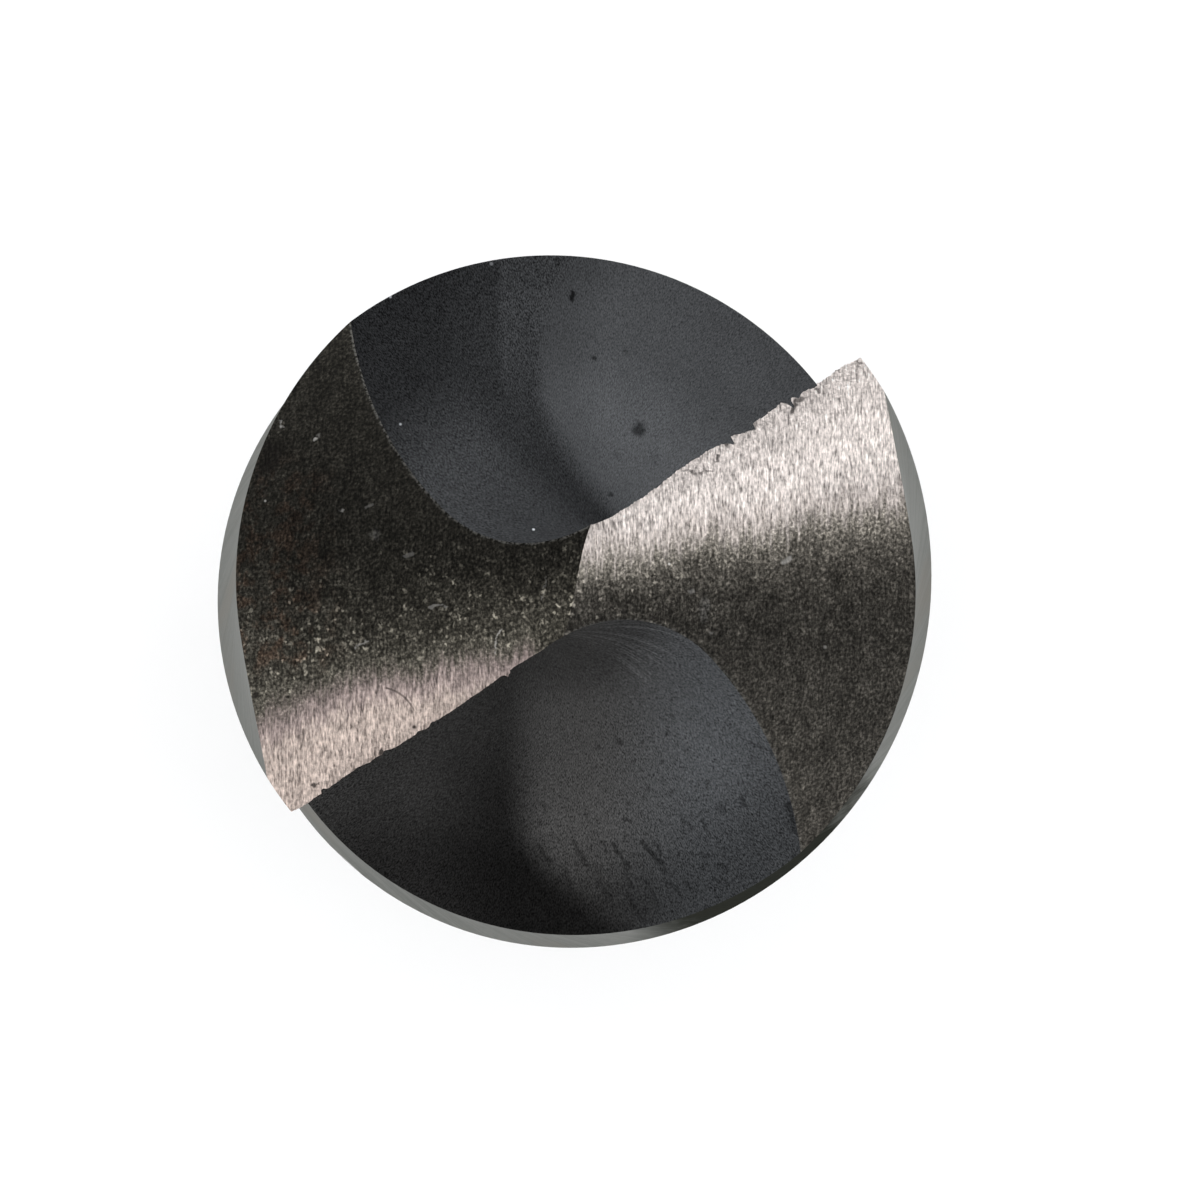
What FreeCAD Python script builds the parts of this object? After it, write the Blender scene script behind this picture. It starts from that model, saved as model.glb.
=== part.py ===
import FreeCAD, Part
import Sketcher
import math
import os

# Reduced shank twist drill, ground from one bar of high speed steel, so it is one solid.
# Frame: millimetres, +Z up the drill's axis from the shank end to the point,
# origin at the centre of the shank's end face. Seen from the point, the right hand
# cutting lip runs along +X and the other one along -X.

V = FreeCAD.Vector
doc = FreeCAD.newDocument("reduced_shank_drill")

# ---------------------------------------------------------------- dimensions
DIMENSIONS = [
    # alias, value, meaning
    ("drill_diameter", 25.4, "cutting diameter over the margins"),
    ("shank_diameter", 12.7, "plain round shank"),
    ("overall_length", 152.4, "shank end face to the middle of the chisel edge"),
    ("shank_length", 57.15, "plain shank up to the shoulder face"),
    ("shank_chamfer", 0.6, "45 degree chamfer round the shank's end"),
    ("shoulder_fillet", 1.0, "radius in the corner between shank and shoulder"),
    ("shoulder_chamfer", 2.6, "45 degree chamfer round the shoulder"),
    ("flute_length", 76.2, "point to the end of the flutes"),
    ("helix_lead", 138.18, "advance of the flutes in one turn, 30 degrees at the periphery"),
    ("web_taper", 0.012, "thickening of the web on each side, for each mm of depth"),
    ("wheel_radius", 40.0, "radius in which the flutes run out"),
    ("runout_length", 27.0, "length in which the flutes run out"),
    ("tip_overrun", 2.5, "how far the fluting wheel starts above the point"),
    ("runout_overrun", 2.2, "how far the wheel's path goes on past the surface"),
    ("flute_direction", 75.8, "bearing of the middle of a flute at the point, degrees"),
    ("lip_arc_x", 0.2003, "centre of the flute's arc that makes the straight lip"),
    ("lip_arc_y", 19.3968, "the same centre"),
    ("lip_arc_radius", 18.0954, "its radius"),
    ("web_arc_radius", 6.2405, "radius at the bottom of the flute"),
    ("web_arc_x", 2.4710, "where the two arcs of the flute meet"),
    ("heel_line_angle", 124.729, "bearing of the flute's straight heel side, degrees"),
    ("flute_outer_radius", 14.224, "the flute's profile is closed outside the blank"),
    ("clearance_radius", 12.326, "radius of the cleared land's arc"),
    ("clearance_x", -0.495, "centre of that arc, off the axis"),
    ("clearance_y", -0.240, "the same centre"),
    ("clearance_flat_angle", 88.0, "bearing of the flat, tangent to that arc, that falls from the margin, degrees"),
    ("clearance_end_angle", -80.0, "bearing where the clearance profile ends, in the next flute"),
    ("clearance_outer_radius", 13.5, "the clearance profile is closed outside the blank"),
    ("clearance_length", 56.0, "point to where the clearance starts to run out"),
    ("clearance_runout", 10.5, "length of the run-out of the clearance"),
    ("clearance_direction", -18.0, "bearing of the middle of the cleared land, degrees"),
    ("cone_half_angle", 50.0, "half angle of the cone on which each flank is ground"),
    ("cone_tilt", 10.7890, "tilt of that cone's axis from the drill's axis, degrees"),
    ("cone_swing", 31.4618, "bearing of that tilt, degrees"),
    ("cone_apex_x", -3.1496, "apex of the first flank's cone"),
    ("cone_apex_y", 1.3208, "the same apex, half the distance between the lips"),
    ("cone_apex_height", 2.3218, "height of the apex above the chisel edge"),
    ("cone_height", 60.0, "length of the cone"),
    ("grind_start_angle", 202.0, "bearing where the first flank's grinding starts, degrees"),
    ("grind_sweep", 230.0, "bearing range that it sweeps, degrees"),
    ("grind_depth", 16.0, "depth of the ground zone below the point"),
    ("grind_radius", 18.0, "radius of the ground zone"),
]
sheet = doc.addObject("Spreadsheet::Sheet", "size")
sheet.Label = "size"
for row, (alias, value, meaning) in enumerate(DIMENSIONS, start=1):
    sheet.set("A%d" % row, alias)
    sheet.set("B%d" % row, repr(value))
    sheet.set("C%d" % row, meaning)
    sheet.setAlias("B%d" % row, alias)
doc.recompute()
d = {alias: float(getattr(sheet, alias)) for alias, _, _ in DIMENSIONS}


def origin_part(body, role):
    """A plane or axis of the body's own origin."""
    for feature in body.Origin.OriginFeatures:
        if feature.Role == role:
            return feature
    raise RuntimeError("no %s in the body's origin" % role)


def bind(sketch, index, name, expression):
    """Names a constraint and ties it to the dimensions."""
    sketch.renameConstraint(index, name)
    sketch.setExpression("Constraints." + name, expression)


# ---------------------------------------------------------------- blank
body = doc.addObject("PartDesign::Body", "blank_and_flutes")
body.Label = "blank_and_flutes"

# Half profile of the turned blank, in the XZ plane: sketch x is the radius, sketch y is the height.
profile = body.newObject("Sketcher::SketchObject", "blank_profile")
profile.AttachmentSupport = [(origin_part(body, "XZ_Plane"), "")]
profile.MapMode = "FlatFace"
rs, rb = d["shank_diameter"] / 2, d["drill_diameter"] / 2
ch, sl, fl, sc, top = d["shank_chamfer"], d["shank_length"], d["shoulder_fillet"], d["shoulder_chamfer"], d["overall_length"]
points = [V(0, 0, 0), V(rs - ch, 0, 0), V(rs, ch, 0), V(rs, sl - fl, 0), V(rs + fl, sl, 0),
          V(rb - sc, sl, 0), V(rb, sl + sc, 0), V(rb, top, 0), V(0, top, 0)]
bottom_line = profile.addGeometry(Part.LineSegment(points[0], points[1]))
chamfer_line = profile.addGeometry(Part.LineSegment(points[1], points[2]))
shank_line = profile.addGeometry(Part.LineSegment(points[2], points[3]))
fillet_arc = profile.addGeometry(Part.ArcOfCircle(Part.Circle(V(rs + fl, sl - fl, 0), V(0, 0, 1), fl), math.pi / 2, math.pi))
face_line = profile.addGeometry(Part.LineSegment(points[4], points[5]))
bevel_line = profile.addGeometry(Part.LineSegment(points[5], points[6]))
body_line = profile.addGeometry(Part.LineSegment(points[6], points[7]))
top_line = profile.addGeometry(Part.LineSegment(points[7], points[8]))
axis_line = profile.addGeometry(Part.LineSegment(points[8], points[0]))
C = profile.addConstraint
K = Sketcher.Constraint
C(K("Coincident", bottom_line, 1, -1, 1))
C(K("Coincident", bottom_line, 2, chamfer_line, 1))
C(K("Coincident", chamfer_line, 2, shank_line, 1))
C(K("Tangent", shank_line, 2, fillet_arc, 2))
C(K("Tangent", fillet_arc, 1, face_line, 1))
C(K("Coincident", face_line, 2, bevel_line, 1))
C(K("Coincident", bevel_line, 2, body_line, 1))
C(K("Coincident", body_line, 2, top_line, 1))
C(K("Coincident", top_line, 2, axis_line, 1))
C(K("Coincident", axis_line, 2, bottom_line, 1))
C(K("Horizontal", bottom_line))
C(K("Vertical", shank_line))
C(K("Horizontal", face_line))
C(K("Vertical", body_line))
C(K("Horizontal", top_line))
C(K("Vertical", axis_line))
bind(profile, C(K("DistanceX", -1, 1, shank_line, 1, rs)), "shank_radius", "size.shank_diameter / 2")
bind(profile, C(K("DistanceX", bottom_line, 2, shank_line, 1, ch)), "chamfer_width", "size.shank_chamfer")
bind(profile, C(K("DistanceY", bottom_line, 2, shank_line, 1, ch)), "chamfer_height", "size.shank_chamfer")
bind(profile, C(K("Radius", fillet_arc, fl)), "fillet_radius", "size.shoulder_fillet")
bind(profile, C(K("DistanceY", -1, 1, face_line, 1, sl)), "shoulder_height", "size.shank_length")
bind(profile, C(K("DistanceX", -1, 1, body_line, 1, rb)), "body_radius", "size.drill_diameter / 2")
bind(profile, C(K("DistanceX", face_line, 2, body_line, 1, sc)), "bevel_width", "size.shoulder_chamfer")
bind(profile, C(K("DistanceY", face_line, 2, body_line, 1, sc)), "bevel_height", "size.shoulder_chamfer")
bind(profile, C(K("DistanceY", -1, 1, body_line, 2, top)), "top_height", "size.overall_length")

blank = body.newObject("PartDesign::Revolution", "blank")
blank.Profile = profile
blank.ReferenceAxis = (profile, ["V_Axis"])
blank.Angle = 360.0
profile.Visibility = False
doc.recompute()
blank_volume = body.Shape.Volume

# ---------------------------------------------------------------- helical cuts
# Each cut is a loft through copies of one section, which turn clockwise with depth (right hand
# helix) and, at the far end, move outwards on the arc of the wheel until they leave the blank.
TURN = "((%s) - size.overall_length) * 360 / size.helix_lead"


def place_section(sketch, z, shift, direction):
    """Height z, turned with the helix, and moved out by shift along its own direction."""
    turn = TURN % z
    sketch.AttachmentSupport = [(origin_part(body, "XY_Plane"), "")]
    sketch.MapMode = "FlatFace"
    sketch.setExpression(
        "AttachmentOffset",
        "placement(vector((%s) * cos(%s + %s); (%s) * sin(%s + %s); %s); rotation(vector(0; 0; 1); %s))"
        % (shift, turn, direction, shift, turn, direction, z, turn),
    )


def flute_section(name, z, shift):
    """Section of one flute: straight heel side, arc round the web, flat arc to the cutting lip."""
    sketch = body.newObject("Sketcher::SketchObject", name)
    cx, cy, r1, r2, ro = d["lip_arc_x"], d["lip_arc_y"], d["lip_arc_radius"], d["web_arc_radius"], d["flute_outer_radius"]
    # start values, in the order in which the solver meets them
    a2 = -math.acos((d["web_arc_x"] - cx) / r1)
    c2 = V(cx + (r1 - r2) * math.cos(a2), cy + (r1 - r2) * math.sin(a2), 0)
    la = math.radians(d["heel_line_angle"])
    a3 = la + math.pi / 2 - 2 * math.pi
    p3 = c2 + V(math.cos(a3), math.sin(a3), 0) * r2
    direction = V(math.cos(la), math.sin(la), 0)
    along = p3.dot(direction)
    reach = -along + math.sqrt(along * along - p3.dot(p3) + ro * ro)
    p4 = p3 + direction * reach
    e = math.hypot(cx, cy)
    # where the lip arc meets the outer circle
    q = (ro * ro - r1 * r1 + e * e) / (2 * e)
    s = math.sqrt(ro * ro - q * q)
    ux, uy = cx / e, cy / e
    p1 = V(q * ux + s * uy, q * uy - s * ux, 0)
    a1 = math.atan2(p1.y - cy, p1.x - cx)
    lip = sketch.addGeometry(Part.ArcOfCircle(Part.Circle(V(cx, cy, 0), V(0, 0, 1), r1), a2, a1))
    web = sketch.addGeometry(Part.ArcOfCircle(Part.Circle(c2, V(0, 0, 1), r2), a3, a2))
    heel = sketch.addGeometry(Part.LineSegment(p3, p4))
    outer = sketch.addGeometry(Part.ArcOfCircle(Part.Circle(V(0, 0, 0), V(0, 0, 1), ro),
                                                math.atan2(p1.y, p1.x), math.atan2(p4.y, p4.x)))
    add = sketch.addConstraint
    add(K("Tangent", lip, 1, web, 2))
    add(K("Tangent", web, 1, heel, 1))
    add(K("Coincident", heel, 2, outer, 2))
    add(K("Coincident", outer, 1, lip, 2))
    add(K("Coincident", outer, 3, -1, 1))
    bind(sketch, add(K("Radius", lip, r1)), "lip_radius", "size.lip_arc_radius")
    bind(sketch, add(K("Radius", web, r2)), "web_radius", "size.web_arc_radius")
    bind(sketch, add(K("Radius", outer, ro)), "outer_radius", "size.flute_outer_radius")
    bind(sketch, add(K("DistanceX", -1, 1, lip, 3, cx)), "lip_centre_x", "size.lip_arc_x")
    bind(sketch, add(K("DistanceY", -1, 1, lip, 3, cy)), "lip_centre_y", "size.lip_arc_y")
    bind(sketch, add(K("DistanceX", -1, 1, lip, 1, d["web_arc_x"])), "web_x", "size.web_arc_x")
    bind(sketch, add(K("Angle", heel, la)), "heel_angle", "size.heel_line_angle")
    place_section(sketch, z, shift, "size.flute_direction")
    sketch.Visibility = False
    return sketch


def clearance_section(name, z, shift):
    """Section of the metal taken off the land behind the margin: a flat, then an arc a little off the axis."""
    sketch = body.newObject("Sketcher::SketchObject", name)
    ex, ey, rc, ro = d["clearance_x"], d["clearance_y"], d["clearance_radius"], d["clearance_outer_radius"]
    af, ae = math.radians(d["clearance_flat_angle"]), math.radians(d["clearance_end_angle"])

    def on_arc(a):
        u = V(math.cos(a), math.sin(a), 0)
        b = u.x * ex + u.y * ey
        return u * (b + math.sqrt(b * b - ex * ex - ey * ey + rc * rc))

    q2, o2 = on_arc(ae), V(math.cos(ae), math.sin(ae), 0) * ro
    along, across = V(math.cos(af), math.sin(af), 0), V(math.sin(af), -math.cos(af), 0)
    q1 = V(ex, ey, 0) + across * rc
    reach = q1.dot(across)
    o1 = across * reach + along * math.sqrt(ro * ro - reach * reach)
    inner = sketch.addGeometry(Part.ArcOfCircle(Part.Circle(V(ex, ey, 0), V(0, 0, 1), rc),
                                                math.atan2(q2.y - ey, q2.x - ex), math.atan2(q1.y - ey, q1.x - ex)))
    flat = sketch.addGeometry(Part.LineSegment(q1, o1))
    outer = sketch.addGeometry(Part.ArcOfCircle(Part.Circle(V(0, 0, 0), V(0, 0, 1), ro), ae, math.atan2(o1.y, o1.x)))
    end = sketch.addGeometry(Part.LineSegment(q2, o2))
    add = sketch.addConstraint
    add(K("Tangent", inner, 2, flat, 1))
    add(K("Coincident", flat, 2, outer, 2))
    add(K("Coincident", outer, 1, end, 2))
    add(K("Coincident", end, 1, inner, 1))
    add(K("Coincident", outer, 3, -1, 1))
    add(K("PointOnObject", -1, 1, end))
    bind(sketch, add(K("Radius", inner, rc)), "land_radius", "size.clearance_radius")
    bind(sketch, add(K("Radius", outer, ro)), "outer_radius", "size.clearance_outer_radius")
    bind(sketch, add(K("DistanceX", -1, 1, inner, 3, ex)), "land_centre_x", "size.clearance_x")
    bind(sketch, add(K("DistanceY", -1, 1, inner, 3, ey)), "land_centre_y", "size.clearance_y")
    bind(sketch, add(K("Angle", flat, af)), "flat_angle", "size.clearance_flat_angle")
    bind(sketch, add(K("Angle", end, ae)), "clearance_end", "size.clearance_end_angle")
    place_section(sketch, z, shift, "size.clearance_direction")
    sketch.Visibility = False
    return sketch


def stations(full, runout, overrun, taper, n_full, n_out):
    """(height, outward shift) of each section, from above the point to past the run-out."""
    z_first = "size.overall_length + size.tip_overrun"
    z_turn = "size.overall_length - (%s)" % full
    out = []
    for i in range(n_full + 1):
        z = "%s - (%s - (%s)) * %d / %d" % (z_first, z_first, z_turn, i, n_full)
        out.append((z, "%s * (size.overall_length - (%s))" % (taper, z)))
    for i in range(1, n_out + 1):
        back = "(%s + %s) * %d / %d" % (runout, overrun, i, n_out)
        z = "%s - %s" % (z_turn, back)
        lift = "size.wheel_radius - sqrt(size.wheel_radius ^ 2 - (%s) ^ 2)" % back
        out.append((z, "%s * (size.overall_length - (%s)) + %s" % (taper, z, lift)))
    return out


def loft_cut(name, sections):
    cut = body.newObject("PartDesign::SubtractiveLoft", name)
    cut.Profile = sections[0]
    cut.Sections = sections[1:]
    cut.Ruled = False
    cut.Closed = False
    return cut


def twice(name, feature):
    """The same cut on the other side of the axis."""
    pattern = body.newObject("PartDesign::PolarPattern", name)
    pattern.Originals = [feature]
    pattern.Axis = (origin_part(body, "Z_Axis"), [""])
    pattern.Angle = 360.0
    pattern.Occurrences = 2
    body.Tip = pattern
    return pattern


flute_stations = stations("size.flute_length - size.runout_length", "size.runout_length",
                          "size.runout_overrun", "size.web_taper", 8, 8)
flute_sections = [flute_section("flute_section_%02d" % i, z, shift) for i, (z, shift) in enumerate(flute_stations)]
doc.recompute()
flute = loft_cut("flute", flute_sections)
doc.recompute()
flute_volume = body.Shape.Volume
flutes = twice("both_flutes", flute)
doc.recompute()
flutes_volume = body.Shape.Volume

clearance_stations = stations("size.clearance_length", "size.clearance_runout", "0", "0", 9, 4)
clearance_sections = [clearance_section("land_section_%02d" % i, z, shift) for i, (z, shift) in enumerate(clearance_stations)]
doc.recompute()
clearance = loft_cut("land_clearance", clearance_sections)
doc.recompute()
clearance_volume = body.Shape.Volume
clearances = twice("both_land_clearances", clearance)
doc.recompute()
clearances_volume = body.Shape.Volume

# ---------------------------------------------------------------- point
# Each flank is a patch of a cone whose apex lies on the lip's line, on the far side of the axis.
# The lip is a generator of that cone. The two flanks meet in the chisel edge.


def flank_cutter(number):
    """What is ground away above one flank: a sector round the point, less the cone of the flank."""
    half_turn = 180 * (number - 1)
    sign = "" if number == 1 else "-"
    zone = doc.addObject("Part::Cylinder", "grind_zone_%d" % number)
    zone.setExpression("Radius", "size.grind_radius")
    zone.setExpression("Height", "size.grind_depth + size.cone_apex_height + 4")
    zone.setExpression("Angle", "size.grind_sweep")
    zone.setExpression("Placement", "placement(vector(0; 0; size.overall_length - size.grind_depth); "
                       "rotation(vector(0; 0; 1); size.grind_start_angle + %d))" % half_turn)
    cone = doc.addObject("Part::Cone", "flank_cone_%d" % number)
    cone.setExpression("Radius1", "0")
    cone.setExpression("Radius2", "size.cone_height * tan(size.cone_half_angle)")
    cone.setExpression("Height", "size.cone_height")
    cone.setExpression("Placement", "placement(vector(%ssize.cone_apex_x; %ssize.cone_apex_y; "
                       "size.overall_length + size.cone_apex_height); "
                       "rotationz(size.cone_swing + %d) * rotationy(180 - size.cone_tilt))" % (sign, sign, half_turn))
    cutter = doc.addObject("Part::Cut", "ground_away_%d" % number)
    cutter.Base = zone
    cutter.Tool = cone
    return cutter


cutters = [flank_cutter(1), flank_cutter(2)]
doc.recompute()
first_flank = doc.addObject("Part::Cut", "first_flank_ground")
first_flank.Base = body
first_flank.Tool = cutters[0]
drill = doc.addObject("Part::Cut", "drill_bit")
drill.Label = "drill_bit"
drill.Base = first_flank
drill.Tool = cutters[1]
drill.Placement = FreeCAD.Placement(V(0, 0, 0), FreeCAD.Rotation())
doc.recompute()

# ---------------------------------------------------------------- checks
for obj in doc.Objects:
    if "Invalid" in obj.State or "Error" in obj.State:
        raise RuntimeError("%s failed: %s" % (obj.Name, obj.State))
print("blank %.1f, one flute %.1f, both %.1f, one clearance %.1f, both %.1f mm3" % (
    blank_volume, flute_volume, flutes_volume, clearance_volume, clearances_volume))
steps = [blank_volume, flute_volume, flutes_volume, clearance_volume, clearances_volume, drill.Shape.Volume]
for before, after in zip(steps, steps[1:]):
    if not after < before - 50:
        raise RuntimeError("a cut took nothing off: %s" % steps)
# the lip is a generator of its cone, so this is the point angle
tilt, swing = math.radians(d["cone_tilt"]), math.radians(d["cone_swing"])
axis = V(math.sin(tilt) * math.cos(swing), math.sin(tilt) * math.sin(swing), -math.cos(tilt))
lip_line = V(math.sin(math.radians(59)), 0, -math.cos(math.radians(59)))
print("half cone angle %.4f, wanted %.4f" % (math.degrees(axis.getAngle(lip_line)), d["cone_half_angle"]))

parts = {"drill_bit": drill}
os.makedirs("parts", exist_ok=True)
for name, obj in parts.items():
    shape = obj.Shape
    if shape.isNull() or not shape.isValid() or len(shape.Solids) != 1:
        raise RuntimeError("%s is not one valid solid" % name)
    box = shape.BoundBox
    print("%s: volume %.1f mm3, %d faces, box %.3f..%.3f, %.3f..%.3f, %.3f..%.3f, centre of mass z %.2f" % (
        name, shape.Volume, len(shape.Faces), box.XMin, box.XMax, box.YMin, box.YMax, box.ZMin, box.ZMax,
        shape.Solids[0].CenterOfMass.z))
    shape.exportStep("parts/%s.step" % name)
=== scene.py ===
import bpy
import math
import numpy as np
from mathutils import Matrix, Vector
from mathutils.geometry import delaunay_2d_cdt


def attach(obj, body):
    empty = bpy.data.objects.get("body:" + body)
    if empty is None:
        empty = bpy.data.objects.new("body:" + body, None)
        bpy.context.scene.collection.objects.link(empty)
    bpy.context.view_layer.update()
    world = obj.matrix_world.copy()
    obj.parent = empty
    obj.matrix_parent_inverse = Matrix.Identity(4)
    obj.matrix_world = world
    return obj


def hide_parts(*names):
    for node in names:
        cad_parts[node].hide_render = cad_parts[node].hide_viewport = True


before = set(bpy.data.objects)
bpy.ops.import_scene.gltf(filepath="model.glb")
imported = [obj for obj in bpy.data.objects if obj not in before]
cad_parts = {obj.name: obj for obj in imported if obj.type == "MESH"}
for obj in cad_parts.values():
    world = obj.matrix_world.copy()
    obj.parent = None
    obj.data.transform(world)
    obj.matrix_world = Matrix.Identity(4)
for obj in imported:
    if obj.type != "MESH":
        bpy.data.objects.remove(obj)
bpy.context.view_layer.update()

# Reduced shank twist drill. All shape work below is in millimetres in the CAD frame
# (+Z from the shank end to the point, lip 1 along +X) and goes to metres in the mesh.

MM = 0.001
RIGHT = np.array([0.8453, -0.5344, 0.0])   # the photograph's right, in the object's frame
UP = np.array([0.5344, 0.8453, 0.0])       # the photograph's up
TURN_IN_VIEW = math.radians(32.3)

# ------------------------------------------------------------------ sizes, as in the CAD model
R = 12.7
RS = 6.35
LENGTH = 152.4
LEAD = 138.18
LIP_C, LIP_R = np.array([0.2003, 19.3968]), 18.0954
WEB_C, WEB_R = np.array([1.6879, 7.6356]), 6.2405
HEEL_DIR = math.radians(124.729)
FLUTE_DIR = math.radians(75.8)
LAND_C, LAND_R = np.array([-0.495, -0.240]), 12.326
FLAT_DIR = math.radians(-2.0)        # bearing that the flat behind the margin faces
LAND_DIR = math.radians(-18.0)
APEX = np.array([-3.1496, 1.3208, LENGTH + 2.3218])
TILT, SWING, HALF = math.radians(10.789), math.radians(31.4618), math.radians(50.0)
AXIS = np.array([math.sin(TILT) * math.cos(SWING), math.sin(TILT) * math.sin(SWING), -math.cos(TILT)])


def flank_height(x, y, side):
    """Height of the ground cone of flank 1 (side +1) or flank 2 (side -1) over a point."""
    px, py = side * x - APEX[0], side * y - APEX[1]
    m, q, c2 = px * AXIS[0] + py * AXIS[1], px * px + py * py, math.cos(HALF) ** 2
    a, b, c = AXIS[2] ** 2 - c2, 2 * m * AXIS[2], m * m - c2 * q
    root = np.sqrt(np.maximum(b * b - 4 * a * c, 0.0))
    return APEX[2] + np.minimum((-b + root) / (2 * a), (-b - root) / (2 * a))


# ------------------------------------------------------------------ section of the drill at a depth
def flute_shift(h):
    lift = np.where(h > 49.2, 40.0 - np.sqrt(np.maximum(1600.0 - np.clip(h - 49.2, 0, 39.9) ** 2, 0.0)), 0.0)
    return 0.012 * h + lift


def land_shift(h):
    return np.where(h > 56.0, 40.0 - np.sqrt(1600.0 - np.clip(h - 56.0, 0.0, 12.0) ** 2), 0.0)


HEEL_U = np.array([math.cos(HEEL_DIR), math.sin(HEEL_DIR)])
P3 = np.array([-3.4409, 4.0804])
P2 = np.array([2.4710, 1.4444])
A3 = math.atan2(*(P3 - WEB_C)[::-1])
A2 = math.atan2(*(P2 - WEB_C)[::-1])
WEB_LEN = WEB_R * ((A2 - A3) % (2 * math.pi))
A1 = math.atan2(*(P2 - LIP_C)[::-1])


def flute_point(w, h):
    """Point of flute 1's profile: w is the length along it from the end of the straight heel side."""
    w = np.asarray(w, float)
    t = np.minimum(w, 0.0)
    heel = P3 - HEEL_U * t[..., None]
    a = A3 + np.clip(w, 0, WEB_LEN) / WEB_R
    web = WEB_C + WEB_R * np.stack([np.cos(a), np.sin(a)], -1)
    b = A1 + np.maximum(w - WEB_LEN, 0.0) / LIP_R
    lip = LIP_C + LIP_R * np.stack([np.cos(b), np.sin(b)], -1)
    p = np.where((w < 0)[..., None], heel, np.where((w < WEB_LEN)[..., None], web, lip))
    s = flute_shift(np.asarray(h, float))
    return p + np.stack([s * math.cos(FLUTE_DIR), s * math.sin(FLUTE_DIR)], -1)


def flute_normal(w):
    """Unit vector across the profile, from the flute into the metal."""
    w = np.asarray(w, float)
    heel = np.array([HEEL_U[1], -HEEL_U[0]]) * -1.0
    a = A3 + np.clip(w, 0, WEB_LEN) / WEB_R
    web = np.stack([np.cos(a), np.sin(a)], -1)
    b = A1 + np.maximum(w - WEB_LEN, 0.0) / LIP_R
    lip = np.stack([np.cos(b), np.sin(b)], -1)
    return np.where((w < 0)[..., None], heel, np.where((w < WEB_LEN)[..., None], web, lip))


def flat_ends(h):
    """Bearings of the two ends of the flat behind margin 1, and its distance from the axis."""
    s = land_shift(np.asarray(h, float))
    cx, cy = LAND_C[0] + s * math.cos(LAND_DIR), LAND_C[1] + s * math.sin(LAND_DIR)
    distance = cx * math.cos(FLAT_DIR) + cy * math.sin(FLAT_DIR) + LAND_R
    low = np.arctan2(cy + LAND_R * math.sin(FLAT_DIR), cx + LAND_R * math.cos(FLAT_DIR))
    high = np.maximum(FLAT_DIR + np.arccos(np.minimum(distance / R, 1.0)), low + 1e-4)
    return low, high, distance


def cleared_radius(bearing, h):
    """Radius of land 1 behind its margin: the lower of the blank and the flat or the cleared arc."""
    s = land_shift(np.asarray(h, float))
    cx, cy = LAND_C[0] + s * math.cos(LAND_DIR), LAND_C[1] + s * math.sin(LAND_DIR)
    b = cx * np.cos(bearing) + cy * np.sin(bearing)
    r = b + np.sqrt(np.maximum(b * b - cx * cx - cy * cy + LAND_R ** 2, 0.0))
    low, high, distance = flat_ends(h)
    r = np.where(bearing > low, distance / np.cos(np.minimum(bearing - FLAT_DIR, 1.4)), r)
    return np.minimum(r, R)


def bisect(f, lo, hi, n=60):
    """Root of a function that is negative at lo and positive at hi, for arrays."""
    lo, hi = np.array(lo, float), np.array(hi, float)
    for _ in range(n):
        mid = (lo + hi) / 2
        neg = f(mid) < 0
        lo, hi = np.where(neg, mid, lo), np.where(neg, hi, mid)
    return (lo + hi) / 2


def closest_w(h):
    """Where the profile comes nearest to the drill's axis."""
    lo, hi = np.full(h.shape, -2.0), np.full(h.shape, WEB_LEN + 4.0)
    for _ in range(60):
        a, b = lo + (hi - lo) / 3, hi - (hi - lo) / 3
        fa, fb = np.linalg.norm(flute_point(a, h), axis=-1), np.linalg.norm(flute_point(b, h), axis=-1)
        lo, hi = np.where(fa < fb, lo, a), np.where(fa < fb, b, hi)
    return (lo + hi) / 2


def distance_at(w, h):
    return np.linalg.norm(flute_point(w, h), axis=-1)


FLUTE_END = float(bisect(lambda h: distance_at(closest_w(h), h) - R, [70.0], [78.0], 40)[0])


def make_table():
    """What bounds the lands and flutes, over depth, in the section's own frame."""
    near = np.linspace(-0.5, 49.2, 400)
    far = np.linspace(49.2, 75.0, 500)[1:]
    last = FLUTE_END - (FLUTE_END - 75.0) * np.linspace(1.0, 0.0, 400)[1:] ** 2
    h = np.concatenate([near, far, last])
    t = {"h": h}
    wm = closest_w(h)

    def above_heel(w):
        p = flute_point(w, h)
        a = np.arctan2(p[:, 1], p[:, 0])
        return cleared_radius(a - math.pi, h) - np.hypot(p[:, 0], p[:, 1])
    t["w_heel"] = bisect(above_heel, wm - 16.0, wm)
    t["w_lip"] = bisect(lambda w: distance_at(w, h) - R, wm, wm + 16.0)
    for name in ("heel", "lip"):
        p = flute_point(t["w_" + name], h)
        t[name] = np.arctan2(p[:, 1], p[:, 0])
    t["flat"], t["margin"], _ = flat_ends(h)
    return t


TABLE = make_table()


def interp_rows(h, what):
    return np.interp(h, TABLE["h"], TABLE[what])


# Columns of one half of the outline, in order: flute 1 from heel to lip, then margin, flat and arc of land 1.
FLUTE, MARGIN, FLAT, LAND = 0, 1, 2, 3
N_HEEL, N_LIP, N_MARGIN, N_FLAT, N_LAND = 64, 176, 40, 24, 60


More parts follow.
